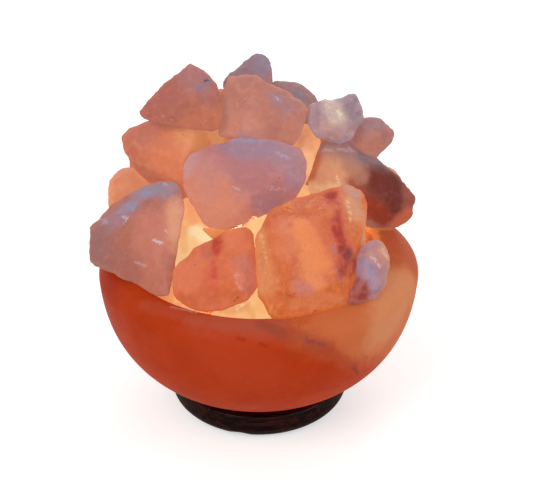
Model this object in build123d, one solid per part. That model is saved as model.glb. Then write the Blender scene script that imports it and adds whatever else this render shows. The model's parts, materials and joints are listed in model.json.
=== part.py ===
from build123d import *
import os
from math import atan2, cos, pi, radians, sin, sqrt

# A lamp made of a carved salt bowl on a turned wooden foot, heaped with rough
# lumps of rock salt round a small bulb. Millimetres, +Z up. The origin is the
# centre of the foot's underside, and -Y is the side the lamp is seen from.

# ------------------------------------------------------------ wooden foot
BASE_T = 19.0            # thickness of the foot
BASE_R = 58.0            # radius of its upright side
BASE_UNDER_R = 46.5      # radius of the flat underside
BASE_ROUND_Z = 11.0      # height at which the side starts to turn in
BASE_TOP_ROUND = 2.0     # rounding of the top edge
BORE_R = 21.0            # hole for the lamp holder, through foot and bowl
SLOT_X = -12.0           # centre of the cord's channel in the underside
SLOT_W = 18.0            # its width at the underside
SLOT_H = 5.5             # height of its arched roof

# ------------------------------------------------------------ salt bowl
BOWL_R = 100.0           # outer radius at the rim
BOWL_DEPTH = 90.0        # depth of the outer curve below the rim, before the cut
BOWL_POWER = 2.5         # fullness of the inner and outer curves
BOWL_CUT = 86.0          # rim to the flat bottom
CAVITY_R = 79.5          # inner radius at the rim
CAVITY_DEPTH = 62.0      # rim to the floor of the hollow
RIM_ROUND_OUT = 10.0     # rounding of the rim's outer edge
RIM_ROUND_IN = 2.5       # rounding of its inner edge
RIM_Z = BASE_T + BOWL_CUT

# ------------------------------------------------------------ fixing screws
SCREW_PITCH_R = 33.0     # circle the three screws stand on
SCREW_ANGLES = (90.0, 210.0, 330.0)
SCREW_R = 2.0
SCREW_HEAD_R = 4.2
SCREW_SINK = 6.5         # depth of the screw heads' recess
PLUG_R = 4.0             # plastic plugs in the salt
PLUG_L = 16.0

# ------------------------------------------------------------ lamp holder
CAP_Z = 6.5              # underside of the holder's cap
CAP_H = 12.5
CAP_R = 17.0
CAP_WALL = 2.0
CORD_R = 4.25            # entry for the cord in the cap
SHELL_R = 13.8           # tube of the holder
SHELL_WALL = 1.6
SHELL_TOP = 47.0
SLEEVE_R = 7.1           # bore of the brass screw sleeve
SLEEVE_WALL = 0.5
CLIP_T = 0.6             # spring strips that grip the bore
CLIP_W = 9.0

# ------------------------------------------------------------ bulb
BULB_CAP_R = 6.9
BULB_CAP_Z = 27.0        # lower end of the screw cap
BULB_CAP_H = 17.0
GLASS_R = 12.5
GLASS_TOP = 84.0
GLASS_WALL = 0.7
PITCH = 2.82             # lead of the screw cap

# ------------------------------------------------------------ heap of salt
GAP = 0.3                # space left between neighbouring lumps
VIEW_TILT = 27.8         # the outlines below are the lumps' outlines as seen
VIEW_RANGE = 650.0       # from the front, looking down at this angle, from
VIEW_X = 7.0             # this distance, at a point this far to the right
BULB_ROOM_R = 18.5       # space kept free round the bulb
BULB_ROOM_TOP = 90.0 + 3.5


# ============================================================ small geometry
def dot(a, b):
    return a[0] * b[0] + a[1] * b[1] + a[2] * b[2]


def minus(a, b):
    return (a[0] - b[0], a[1] - b[1], a[2] - b[2])


def unit(a):
    n = sqrt(dot(a, a))
    return (a[0] / n, a[1] / n, a[2] / n)


def cross(a, b):
    return (a[1] * b[2] - a[2] * b[1], a[2] * b[0] - a[0] * b[2], a[0] * b[1] - a[1] * b[0])


def hull_planes(points):
    """Outward planes (normal, distance) of the hull round a few points."""
    planes = []
    count = len(points)
    for i in range(count):
        for j in range(i + 1, count):
            for k in range(j + 1, count):
                n = cross(minus(points[j], points[i]), minus(points[k], points[i]))
                if dot(n, n) < 1e-6:
                    continue
                n = unit(n)
                d = dot(n, points[i])
                side = [dot(n, p) - d for p in points]
                if max(side) < 1e-7:
                    pass
                elif min(side) > -1e-7:
                    n, d = (-n[0], -n[1], -n[2]), -d
                else:
                    continue
                if not any(dot(n, m) > 0.99999 and abs(d - e) < 1e-3 for m, e in planes):
                    planes.append((n, d))
    return planes


def cleave(faces, n, d):
    """Keep the part of a convex lump, a list of polygons, where n.p <= d."""
    kept, rim = [], []
    for face in faces:
        out = []
        for a, b in zip(face, face[1:] + face[:1]):
            da, db = dot(n, a) - d, dot(n, b) - d
            if da <= 0:
                out.append(a)
            if (da < 0 < db) or (db < 0 < da):
                t = da / (da - db)
                cut = tuple(a[i] + t * (b[i] - a[i]) for i in range(3))
                out.append(cut)
                rim.append(cut)
            elif da == 0:
                rim.append(a)
        if len(out) >= 3:
            kept.append(out)
    if len(rim) >= 3:
        u = unit(cross(n, (0.3, 0.5, 0.8) if abs(n[2]) < 0.9 else (1.0, 0.0, 0.0)))
        v = cross(n, u)
        mid = tuple(sum(p[i] for p in rim) / len(rim) for i in range(3))
        rim.sort(key=lambda p: atan2(dot(minus(p, mid), v), dot(minus(p, mid), u)))
        lid = []
        for p in rim:
            if not lid or dot(minus(p, lid[-1]), minus(p, lid[-1])) > 1e-8:
                lid.append(p)
        if len(lid) > 2 and dot(minus(lid[0], lid[-1]), minus(lid[0], lid[-1])) <= 1e-8:
            lid.pop()
        if len(lid) >= 3:
            kept.append(lid)
    return kept


def lump(points):
    """Convex lump round the points, as a list of polygons."""
    s = 400.0
    c = [(x, y, z) for x in (-s, s) for y in (-s, s) for z in (-s, s)]
    faces = [[c[0], c[1], c[3], c[2]], [c[4], c[6], c[7], c[5]], [c[0], c[4], c[5], c[1]],
             [c[2], c[3], c[7], c[6]], [c[0], c[2], c[6], c[4]], [c[1], c[5], c[7], c[3]]]
    for n, d in hull_planes(points):
        faces = cleave(faces, n, d)
    return faces


def corners(faces):
    out = []
    for face in faces:
        for p in face:
            if not any(abs(p[0] - q[0]) + abs(p[1] - q[1]) + abs(p[2] - q[2]) < 1e-6 for q in out):
                out.append(p)
    return out


def solid_lump(faces):
    """The lump, given as a list of polygons, as a solid."""
    pts = corners(faces)
    walls = []
    for face in faces:
        loop = []
        for p in face:
            q = min(pts, key=lambda c: dot(minus(c, p), minus(c, p)))
            if q not in loop:
                loop.append(q)
        if len(loop) >= 3:
            walls.append(Face(Wire.make_polygon([Vector(*q) for q in loop], close=True)))
    return Solid(Shell(walls))


# directions spread evenly over a sphere, for finding where two lumps meet
COMPASS = []
for step in range(240):
    up = 1.0 - (step + 0.5) / 120.0
    turn = step * pi * (3.0 - sqrt(5.0))
    flat = sqrt(1.0 - up * up)
    COMPASS.append((flat * cos(turn), flat * sin(turn), up))


def part_lumps(first, second, bite=1.2):
    """Trim two lumps that overlap to a flat joint with GAP between them.

    The joint lies square to the direction in which they overlap least. The
    first gives up at most bite mm, and the second the rest.
    """
    pa, pb = corners(first), corners(second)
    best = None
    for n in COMPASS:
        depth = max(dot(n, p) for p in pa) - min(dot(n, p) for p in pb)
        if best is None or depth < best[0]:
            best = (depth, n)
    depth, n = best
    if depth <= -GAP:
        return first, second
    top = max(dot(n, p) for p in pa)
    at = top - min(bite, max(depth, 0.0) / 2) if depth > 0 else top + depth / 2 - GAP / 2
    first = cleave(first, n, at)
    second = cleave(second, (-n[0], -n[1], -n[2]), -(at + GAP))
    return first, second


# ============================================================ the heap
TILT = radians(VIEW_TILT)
UP = (0.0, sin(TILT), cos(TILT))
AHEAD = (0.0, cos(TILT), -sin(TILT))


def seen(x, v, w):
    """Point seen x mm right of the bowl's axis and v mm above its rim's
    centre, w mm beyond the plane through that centre that faces the viewer."""
    g = 1.0 + w / VIEW_RANGE
    return (VIEW_X + (x - VIEW_X) * g,
            UP[1] * v * g + AHEAD[1] * w,
            RIM_Z + 0.7 + UP[2] * (v - 0.6) * g + AHEAD[2] * w)


def front_lump(outline, w, turn, lean, rear, ridge, rear_scale=0.72, drop=0.0):
    """Lump whose outline from the front is given as (x, v) points.

    w is the outline's distance beyond the rim's centre, turn and lean its
    slope across and upwards, rear how far the lump reaches behind it, drop how
    much lower it sits there, and ridge the points (x, v, forward) that stand
    out towards the viewer.
    """
    cx = sum(p[0] for p in outline) / len(outline)
    cv = sum(p[1] for p in outline) / len(outline)

    def away(x, v):
        return w + turn * (x - cx) + lean * (v - cv)

    pts = [seen(x, v, away(x, v)) for x, v in outline]
    pts += [seen(x, v, away(x, v) - f) for x, v, f in ridge]
    for x, v in outline[::2]:
        bx, bv = cx + rear_scale * (x - cx), cv + rear_scale * (v - cv) - drop
        pts.append(seen(bx, bv, away(bx, bv) + rear))
    return lump(pts)


def nugget(x, y, z, a, b, c, spin=0.0, tip=0.0, skew=0.0):
    """Lump round a point, z above the rim, with half sizes a, b and c, turned
    by spin about +Z and tipped about its own X. skew leans its top sideways."""
    shape = []
    for level, reach, count, start in ((0.92, 0.42, 4, 20), (0.45, 0.88, 5, 50),
                                       (-0.20, 1.0, 6, 10), (-0.85, 0.55, 4, 65)):
        for k in range(count):
            t = radians(start + 360.0 * k / count + 9.0 * ((k * 2) % 3))
            shape.append((a * reach * cos(t) + skew * level * a, b * reach * sin(t), c * level))
    ct, st, cs, ss = cos(radians(tip)), sin(radians(tip)), cos(radians(spin)), sin(radians(spin))
    pts = []
    for px, py, pz in shape:
        py, pz = py * ct - pz * st, py * st + pz * ct
        pts.append((x + px * cs - py * ss, y + px * ss + py * cs, RIM_Z + z + pz))
    return lump(pts)


def inner_radius(z):
    """Radius of the bowl's hollow at a height z below the rim (z <= 0)."""
    t = min(1.0, -z / CAVITY_DEPTH)
    return CAVITY_R * (1.0 - t ** BOWL_POWER) ** (1.0 / BOWL_POWER)


def in_bowl(faces):
    """Trim a lump to sit inside the hollow, with flats where it touches."""
    for z in (-3.0, -13.0, -22.0, -31.0, -39.0, -46.0, -52.0, -57.0):
        slope = (inner_radius(z + 0.05) - inner_radius(z - 0.05)) / 0.1
        for deg in range(0, 360, 12):
            n = unit((cos(radians(deg)), sin(radians(deg)), -slope))
            touch = (inner_radius(z) * cos(radians(deg)), inner_radius(z) * sin(radians(deg)), RIM_Z + z)
            faces = cleave(faces, n, dot(n, touch) - 3 * GAP)
    return cleave(faces, (0.0, 0.0, -1.0), -(RIM_Z - CAVITY_DEPTH + GAP))


def on_rim(faces):
    """Trim a lump flat underneath, to lie on the bowl's rim."""
    return cleave(faces, (0.0, 0.0, -1.0), -(RIM_Z + GAP))


def off_bulb(faces, deg):
    """Keep a lump clear of the bulb's room, on the side deg points to."""
    n = (-cos(radians(deg)), -sin(radians(deg)), 0.0)
    return cleave(faces, n, -BULB_ROOM_R)


def over_bulb(faces):
    """Keep a lump above the bulb's room."""
    return cleave(faces, (0.0, 0.0, -1.0), -BULB_ROOM_TOP)


HEAP = {}

# Lumps seen from the front, from the ones that lie over their neighbours to
# the ones that lie under them. Where two meet, the later one gives way.
HEAP["chunk_centre"] = over_bulb(front_lump(
    [(-47, 53), (-43, 59), (-29, 66), (-9, 71), (11, 68), (26, 63), (29, 55), (29, 44),
     (21, 29), (11, 23), (-17, 13), (-28, 11), (-35, 18), (-47, 38)],
    w=-34, turn=0.0, lean=0.17, rear=34, ridge=[(-20, 45, 13), (12, 47, 12), (-8, 30, 11)]))

HEAP["chunk_blue"] = on_rim(front_lump(
    [(60, -8), (64, 1), (71, 7), (77, 5), (81, -2), (82, -9), (79, -15), (79, -22), (73, -30),
     (64, -34), (56, -34), (55, -22)],
    w=-52, turn=0.35, lean=0.3, rear=18, ridge=[(70, -4, 6), (66, -18, 8), (73, -20, 7)]))

HEAP["chunk_front_right"] = on_rim(front_lump(
    [(-2, 9), (7, 24), (29, 33), (48, 36), (56, 40), (64, 36), (67, 30), (68, 16), (69, 6),
     (68, -20), (60, -34), (48, -40), (26, -45), (8, -44), (1, -29)],
    w=-53, turn=0.3, lean=0.25, rear=34, ridge=[(10, 8, 13), (44, 22, 14), (56, -18, 14), (20, -28, 9)]))

HEAP["chunk_front_left"] = in_bowl(front_lump(
    [(-54, -13), (-43, -1), (-29, 8), (-17, 13), (-7, 14), (-3, 9), (-1, -8), (-1, -23),
     (-6, -31), (-13, -35), (-24, -39), (-42, -39), (-54, -31)],
    w=-57, turn=-0.05, lean=0.36, rear=26, ridge=[(-22, -4, 10), (-12, -18, 10), (-38, -22, 7)]))

HEAP["chunk_left"] = on_rim(front_lump(
    [(-106, 15), (-93, 28), (-73, 40), (-61, 43), (-51, 43), (-47, 36), (-47, 18), (-52, -8),
     (-56, -29), (-63, -30), (-93, -15), (-106, -8)],
    w=-33, turn=-0.5, lean=0.42, rear=32, ridge=[(-72, 22, 13), (-64, -4, 13), (-92, 6, 9)]))

HEAP["chunk_upper_left"] = front_lump(
    [(-86, 71), (-81, 76), (-62, 82), (-42, 79), (-24, 75), (-19, 63), (-23, 43), (-34, 28),
     (-56, 24), (-71, 34), (-78, 51), (-85, 64)],
    w=-18, turn=-0.15, lean=0.0, rear=32, ridge=[(-64, 62, 10), (-42, 56, 12), (-52, 40, 9)])

HEAP["chunk_right"] = on_rim(front_lump(
    [(48, 71), (55, 70), (73, 58), (87, 47), (98, 33), (96, 21), (88, 15), (70, 14), (45, 25),
     (30, 39), (30, 51), (36, 64)],
    w=2, turn=0.12, lean=0.0, rear=34, ridge=[(60, 52, 12), (72, 34, 14), (48, 34, 9)], drop=8.0))

HEAP["chunk_upper_centre"] = front_lump(
    [(-19, 108), (-3, 109), (16, 100), (27, 93), (31, 88), (28, 76), (21, 63), (2, 56),
     (-19, 60), (-25, 72), (-25, 89)],
    w=-20, turn=0.05, lean=-0.05, rear=26, ridge=[(-4, 92, 9), (14, 82, 8), (-8, 74, 9)])

HEAP["chunk_lilac"] = front_lump(
    [(32, 91), (48, 95), (61, 98), (64, 90), (65, 83), (58, 67), (46, 67), (33, 73), (30, 78)],
    w=-14, turn=0.1, lean=0.0, rear=20, ridge=[(44, 86, 5), (50, 76, 5)])

HEAP["chunk_top_left"] = front_lump(
    [(-43, 117), (-35, 113), (-26, 104), (-21, 91), (-23, 77), (-34, 73), (-54, 74), (-71, 79),
     (-76, 86), (-60, 104)],
    w=-28, turn=-0.05, lean=0.05, rear=28, ridge=[(-44, 96, 10), (-32, 88, 10), (-58, 86, 7)])

HEAP["chunk_small_right"] = front_lump(
    [(62, 81), (70, 83), (76, 82), (85, 73), (83, 68), (72, 56), (60, 54), (54, 62), (54, 75)],
    w=0, turn=0.1, lean=0.0, rear=22, ridge=[(70, 72, 6)])

HEAP["chunk_peak"] = front_lump(
    [(-1, 126), (6, 126), (9, 121), (10, 112), (12, 97), (8, 86), (-17, 86), (-28, 98), (-27, 105),
     (-22, 109), (-14, 116), (-6, 123)],
    w=-4, turn=0.0, lean=0.0, rear=16, ridge=[(-2, 108, 4)], rear_scale=0.6)

HEAP["chunk_back_top"] = front_lump(
    [(-4, 102), (10, 105.5), (26, 104), (34, 98), (40, 89), (37, 80), (26, 73), (8, 74), (-4, 84)],
    w=14, turn=0.05, lean=0.0, rear=22, ridge=[(26, 94, 4)])

HEAP["chunk_inner_right"] = front_lump(
    [(26, 80), (33, 76), (38, 69), (38, 53), (30, 40), (18, 38), (11, 53), (14, 72)],
    w=-8, turn=0.0, lean=0.0, rear=24, ridge=[(30, 64, 5)])

HEAP["chunk_small_left"] = on_rim(front_lump(
    [(-93, 47), (-85, 52), (-74, 52), (-62, 43), (-62, 22), (-80, 16), (-93, 22), (-95, 38)],
    w=2, turn=-0.1, lean=0.0, rear=26, ridge=[(-80, 38, 6)], drop=14.0))

HEAP["chunk_sliver_right"] = on_rim(front_lump(
    [(70, 54), (82, 53), (86, 51), (90, 46), (92, 36), (84, 26), (70, 26)],
    w=38, turn=0.1, lean=0.0, rear=20, ridge=[(80, 42, 4)], drop=6.0))

# Lumps that show between the others, lit by the bulb.
HEAP["chunk_between"] = over_bulb(front_lump(
    [(-42, 80), (-28, 84), (-16, 82), (-11, 66), (-16, 48), (-34, 46), (-46, 58)],
    w=2, turn=0.1, lean=0.0, rear=22, ridge=[(-26, 66, 5)]))
HEAP["chunk_inner_left"] = off_bulb(in_bowl(front_lump(
    [(-54, 30), (-42, 36), (-24, 24), (-20, 4), (-30, -16), (-46, -24), (-58, 0)],
    w=-22, turn=0.0, lean=0.25, rear=26, ridge=[(-38, 8, 8)])), 190)
HEAP["chunk_wedge"] = front_lump(
    [(-40, 17), (-31, 19), (-15, 17), (-14, 10), (-27, 4)],
    w=-46, turn=0.1, lean=0.0, rear=12, ridge=[(-28, 12, 2)], rear_scale=0.8)
HEAP["chunk_inner_centre"] = off_bulb(in_bowl(front_lump(
    [(-19, 24), (0, 30), (13, 24), (10, 6), (-4, -14), (-16, -6)],
    w=-44, turn=0.0, lean=0.3, rear=16, ridge=[(-2, 10, 6)])), 270)
HEAP["chunk_inner_front"] = off_bulb(in_bowl(front_lump(
    [(-30, -28), (-8, -18), (6, -20), (14, -42), (-8, -60), (-32, -52)],
    w=-50, turn=0.0, lean=0.4, rear=16, ridge=[(-4, -34, 5)])), 262)

# Lumps on the far side of the heap and inside the bowl.
HEAP["chunk_back_high"] = over_bulb(nugget(-22, 44, 66, 30, 24, 24, spin=20, tip=-20, skew=0.2))
HEAP["chunk_back_left"] = on_rim(nugget(-60, 50, 26, 31, 27, 29, spin=-40, tip=10, skew=0.2))
HEAP["chunk_back"] = on_rim(nugget(-6, 66, 30, 33, 25, 32, spin=10, tip=12, skew=-0.2))
HEAP["chunk_back_right"] = on_rim(nugget(50, 58, 24, 30, 24, 30, spin=35, tip=-8, skew=0.15))
HEAP["chunk_heart"] = over_bulb(nugget(4, 16, 24, 34, 30, 38, spin=15))
HEAP["chunk_under_lilac"] = on_rim(nugget(45, 46, 56, 26, 22, 27, spin=30, tip=-10))
HEAP["chunk_side_left"] = off_bulb(in_bowl(nugget(-50, 10, -22, 28, 32, 30, spin=70, skew=0.1)), 170)
HEAP["chunk_side_right"] = off_bulb(in_bowl(nugget(50, -4, -22, 28, 32, 30, spin=-80)), 355)
HEAP["chunk_side_back"] = off_bulb(in_bowl(nugget(2, 50, -20, 32, 28, 32, spin=10)), 90)
HEAP["chunk_side_front"] = off_bulb(in_bowl(nugget(26, -48, -24, 26, 22, 28, spin=-30)), 300)

names = list(HEAP)
for i, one in enumerate(names):
    for other in names[i + 1:]:
        HEAP[one], HEAP[other] = part_lumps(HEAP[one], HEAP[other])


# ============================================================ foot and bowl
def turned(*edges):
    """Solid turned about +Z from edges drawn as (radius, height)."""
    return revolve(Plane.XZ * make_face(Curve() + list(edges)), Axis.Z)


def ring(r_in, r_out, z0, z1):
    body = Pos(0, 0, z0) * Cylinder(r_out, z1 - z0, align=(Align.CENTER, Align.CENTER, Align.MIN))
    if r_in > 0:
        body -= Pos(0, 0, z0 - 1) * Cylinder(r_in, z1 - z0 + 2, align=(Align.CENTER, Align.CENTER, Align.MIN))
    return body


def rod(r, z0, z1):
    return ring(0, r, z0, z1)


SCREW_SPOTS = [(SCREW_PITCH_R * cos(radians(a)), SCREW_PITCH_R * sin(radians(a))) for a in SCREW_ANGLES]

foot = turned(
    Line((BORE_R, 0), (BASE_UNDER_R, 0)),
    Spline((BASE_UNDER_R, 0), (BASE_UNDER_R + (BASE_R - BASE_UNDER_R) * sin(pi / 4),
                               BASE_ROUND_Z * (1 - cos(pi / 4))),
           (BASE_R, BASE_ROUND_Z), tangents=[(1, 0), (0, 1)]),
    Line((BASE_R, BASE_ROUND_Z), (BASE_R, BASE_T - BASE_TOP_ROUND)),
    RadiusArc((BASE_R, BASE_T - BASE_TOP_ROUND), (BASE_R - BASE_TOP_ROUND, BASE_T), -BASE_TOP_ROUND),
    Line((BASE_R - BASE_TOP_ROUND, BASE_T), (BORE_R, BASE_T)),
    Line((BORE_R, BASE_T), (BORE_R, 0)))
slot_r = (SLOT_W ** 2 / 4 + SLOT_H ** 2) / (2 * SLOT_H)
foot -= (Pos(SLOT_X, 0, SLOT_H - slot_r) * Rot(90, 0, 0)
         * Cylinder(slot_r, BASE_R + 5, align=(Align.CENTER, Align.CENTER, Align.MIN)))
for sx, sy in SCREW_SPOTS:
    foot -= Pos(sx, sy, 0) * rod(SCREW_R + 0.3, -1, BASE_T + 1)
    foot -= Pos(sx, sy, 0) * rod(SCREW_HEAD_R + 0.6, -1, SCREW_SINK)


def curve(radius, depth, t0, t1, count=12):
    """Points of the bowl's curve, evenly spaced in angle from t0 to t1."""
    pts = []
    for k in range(count + 1):
        a = t0 + (t1 - t0) * k / count
        t = sin(a) ** (2.0 / BOWL_POWER)
        pts.append((radius * cos(a) ** (2.0 / BOWL_POWER), RIM_Z - depth * t))
    return pts


def angle_at(fraction):
    """Angle at which the curve has come down by this fraction of its depth."""
    s = fraction ** (BOWL_POWER / 2.0)
    return atan2(s, sqrt(1.0 - s * s))


outer = curve(BOWL_R, BOWL_DEPTH, angle_at(RIM_ROUND_OUT / BOWL_DEPTH), angle_at(BOWL_CUT / BOWL_DEPTH))
bore_fraction = (1.0 - (BORE_R / CAVITY_R) ** BOWL_POWER) ** (1.0 / BOWL_POWER)
inner = curve(CAVITY_R, CAVITY_DEPTH, angle_at(RIM_ROUND_IN / CAVITY_DEPTH), angle_at(bore_fraction))
bowl = turned(
    Line((BORE_R, BASE_T), outer[-1]),
    Spline(*outer[::-1], tangents=[(1.0, 0.35), (0.0, 1.0)]),
    RadiusArc(outer[0], (BOWL_R - RIM_ROUND_OUT, RIM_Z), -RIM_ROUND_OUT),
    Line((BOWL_R - RIM_ROUND_OUT, RIM_Z), (CAVITY_R + RIM_ROUND_IN, RIM_Z)),
    Line((CAVITY_R + RIM_ROUND_IN, RIM_Z), inner[0]),
    Spline(*inner),
    Line(inner[-1], (BORE_R, BASE_T)))
for sx, sy in SCREW_SPOTS:
    bowl -= Pos(sx, sy, 0) * rod(PLUG_R, BASE_T - 1, BASE_T + PLUG_L + 0.5)

screws = Compound([])
plugs = Compound([])
screw_list, plug_list = [], []
for sx, sy in SCREW_SPOTS:
    s = rod(SCREW_HEAD_R, SCREW_SINK - 3.2, SCREW_SINK) + rod(SCREW_R, SCREW_SINK, BASE_T + PLUG_L - 3)
    s = s + Pos(0, 0, BASE_T + PLUG_L - 3) * Cone(SCREW_R, 0.4, 2.2, align=(Align.CENTER, Align.CENTER, Align.MIN))
    s -= Pos(0, 0, SCREW_SINK - 3.2) * Box(5.0, 1.1, 2.6)
    s -= Pos(0, 0, SCREW_SINK - 3.2) * Box(1.1, 5.0, 2.6)
    screw_list.append(Pos(sx, sy, 0) * s)
    p = ring(SCREW_R + 0.03, PLUG_R - 0.05, BASE_T + 0.1, BASE_T + PLUG_L)
    p -= Pos(0, 0, BASE_T + PLUG_L) * Box(0.9, 2 * PLUG_R + 1, 14.0)
    plug_list.append(Pos(sx, sy, 0) * p)

# ============================================================ lamp holder
cap_top = CAP_Z + CAP_H
cap = ring(0, CAP_R, CAP_Z, cap_top) - rod(CAP_R - CAP_WALL, CAP_Z + 2.2, cap_top + 1)
cap -= rod(CORD_R, CAP_Z - 1, CAP_Z + 3)
cap = chamfer(cap.edges().filter_by(GeomType.CIRCLE).group_by(Axis.Z)[0].sort_by(SortBy.RADIUS)[-1], 1.2)
for k in range(16):
    cap -= Rot(0, 0, 22.5 * k) * Pos(CAP_R + 0.55, 0, CAP_Z + 2.5) * rod(1.0, 0, CAP_H)

shell = ring(SHELL_R - SHELL_WALL, SHELL_R, cap_top - 6, SHELL_TOP)
shell += ring(SHELL_R - SHELL_WALL, CAP_R - 0.2, cap_top + 0.1, cap_top + 2.4)
shell += ring(SHELL_R - SHELL_WALL, CAP_R - CAP_WALL - 0.1, cap_top - 6, cap_top + 0.1)
shell += ring(SLEEVE_R + SLEEVE_WALL + 0.1, SHELL_R, SHELL_TOP - 1.8, SHELL_TOP)

core_top = BULB_CAP_Z - 3.0
core = rod(SHELL_R - SHELL_WALL - 0.1, core_top - 7.0, core_top)
core += ring(SLEEVE_R + SLEEVE_WALL + 0.05, SLEEVE_R + SLEEVE_WALL + 1.8, core_top, SHELL_TOP - 5)
for side in (-1, 1):
    core -= Pos(side * 7.5, 0, core_top - 7.5) * Box(4.4, 5.4, 9.0)

sleeve = ring(SLEEVE_R, SLEEVE_R + SLEEVE_WALL, core_top + 0.1, SHELL_TOP - 2.2)
sleeve += ring(4.5, SLEEVE_R + SLEEVE_WALL, core_top + 0.1, core_top + 0.6)

tab = Pos(0, 0, core_top + 0.5) * Box(6.0, 3.2, 0.4)
tab += Pos(0, 0, core_top + 0.1) * Box(3.0, 3.2, 0.5, align=(Align.CENTER, Align.CENTER, Align.MIN))
tab += Pos(0, 0, core_top + 0.7) * Cone(1.6, 1.0, 0.72, align=(Align.CENTER, Align.CENTER, Align.MIN))

terminals = []
for side in (-1, 1):
    block = Pos(side * 7.5, 0, core_top - 7.6) * Box(4.2, 5.2, 4.4, align=(Align.CENTER, Align.CENTER, Align.MIN))
    block -= Pos(side * 7.5, 0, core_top - 5.4) * Rot(90, 0, 0) * Cylinder(0.9, 8)
    block += Pos(side * 7.5, 0, 0) * rod(1.5, core_top - 8.6, core_top - 7.5)
    block -= Pos(side * 7.5, 0, core_top - 8.6) * Box(3.4, 0.6, 1.0)
    terminals.append(block)


def clip(side):
    """Spring strip: riveted low on the tube, bowed out to the bore's wall."""
    z0 = cap_top + 4.0
    line = [(SHELL_R + 0.05, z0), (SHELL_R + 0.05, z0 + 8.0), (SHELL_R + 1.2, z0 + 10.0),
            (BORE_R - 2.4, z0 + 15.0), (BORE_R - 1.2, z0 + 19.0), (BORE_R - 2.4, z0 + 22.5)]
    back = [(r + CLIP_T if i < 2 else r + (CLIP_T if i == 2 else 0.4), z + (0.0 if i < 2 else -0.3)) for i, (r, z) in enumerate(line)]
    face = make_face(Polyline(*line, *back[::-1], close=True))
    strip = extrude(Plane.XZ * face, CLIP_W / 2, both=True)
    strip += Pos(SHELL_R + 0.05 + CLIP_T, 0, z0 + 3.0) * Rot(0, 90, 0) * Cylinder(
        1.6, 0.7, align=(Align.CENTER, Align.CENTER, Align.MIN))
    return Rot(0, 0, 0 if side > 0 else 180) * strip


# ============================================================ bulb
cap_end = BULB_CAP_Z + BULB_CAP_H
bulb_cap = ring(BULB_CAP_R - 0.4, BULB_CAP_R, BULB_CAP_Z, cap_end)
bulb_cap += ring(3.4, BULB_CAP_R, BULB_CAP_Z, BULB_CAP_Z + 0.4)
bulb_base = rod(3.3, BULB_CAP_Z - 1.0, BULB_CAP_Z + 1.4) + rod(BULB_CAP_R - 0.5, BULB_CAP_Z + 0.5, BULB_CAP_Z + 1.6)
tip = rod(2.2, BULB_CAP_Z - 1.2, BULB_CAP_Z - 1.02) + Pos(0, 0, BULB_CAP_Z - 1.2) * Rot(180, 0, 0) * Cone(
    2.2, 1.4, 0.3, align=(Align.CENTER, Align.CENTER, Align.MIN))
glass_pts = [(6.2, cap_end - 6.0), (6.2, cap_end + 2.0), (7.4, cap_end + 7.0), (10.6, cap_end + 13.5),
             (GLASS_R, cap_end + 22.0), (11.4, cap_end + 31.0), (7.2, GLASS_TOP - 2.4), (0.0, GLASS_TOP)]
glass_in = [(6.2 - GLASS_WALL, cap_end - 6.0), (6.2 - GLASS_WALL, cap_end + 2.3), (6.7, cap_end + 7.3),
            (9.9, cap_end + 13.8), (GLASS_R - GLASS_WALL, cap_end + 22.0),
            (10.7, cap_end + 30.6), (6.7, GLASS_TOP - 2.9), (0.0, GLASS_TOP - GLASS_WALL)]
glass = turned(
    Line(glass_in[0], glass_pts[0]), Line(glass_pts[0], glass_pts[1]),
    Spline(*glass_pts[1:], tangents=[(0, 1), (-1, 0)]),
    Line(glass_pts[-1], glass_in[-1]),
    Spline(*glass_in[1:], tangents=[(0, 1), (-1, 0)]),
    Line(glass_in[1], glass_in[0]))
stem_top = cap_end + 14.0
stem = ring(0, 5.2, cap_end - 5.5, cap_end - 4.0) + rod(2.4, cap_end - 4.0, cap_end + 6.0)
stem += Pos(0, 0, cap_end + 6.0) * Cone(2.4, 0.9, 4.0, align=(Align.CENTER, Align.CENTER, Align.MIN))
stem += rod(0.9, cap_end + 10.0, stem_top)
fil_z = cap_end + 22.0
wires = []
for side in (-1, 1):
    path = Polyline((side * 3.1, 0, cap_end - 3.9), (side * 3.1, 0, cap_end + 8.0), (side * 7.0, 0, fil_z))
    wires.append(sweep(Plane(origin=(side * 3.1, 0, cap_end - 3.9), z_dir=(0, 0, 1)) * Circle(0.28), path=path))
prop = sweep(Plane(origin=(0, 0, stem_top + 0.02), z_dir=(0, 0, 1)) * Circle(0.2),
             path=Line((0, 0, stem_top + 0.02), (0, 0, fil_z - 1.3)))
coil_path = Polyline((-7.0, 0, fil_z + 0.62), (-4.0, 1.2, fil_z + 0.2), (0.0, 1.7, fil_z - 0.4),
                     (4.0, 1.2, fil_z + 0.2), (7.0, 0, fil_z + 0.62))
coil = sweep(Plane(origin=coil_path @ 0, z_dir=coil_path % 0) * Circle(0.35), path=coil_path,
             transition=Transition.ROUND)

# ============================================================ files
os.makedirs("parts", exist_ok=True)


def save(shape, name):
    shape.label = name
    export_step(shape, "parts/" + name + ".step")


save(foot, "wood_base")
save(bowl, "salt_bowl")
save(Compound(children=screw_list), "base_screws")
save(Compound(children=plug_list), "wall_plugs")
save(cap, "holder_cap")
save(shell, "holder_shell")
save(core, "holder_core")
save(sleeve, "screw_sleeve")
save(tab, "centre_contact")
save(Compound(children=terminals), "terminals")
save(clip(1), "spring_clip_right")
save(clip(-1), "spring_clip_left")
save(bulb_cap, "bulb_cap")
save(bulb_base, "bulb_insulator")
save(tip, "bulb_contact")
save(glass, "bulb_glass")
save(stem, "bulb_stem")
save(Compound(children=wires), "lead_wires")
save(prop, "filament_support")
save(coil, "filament")
for name, faces in HEAP.items():
    save(solid_lump(faces), name)
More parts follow.
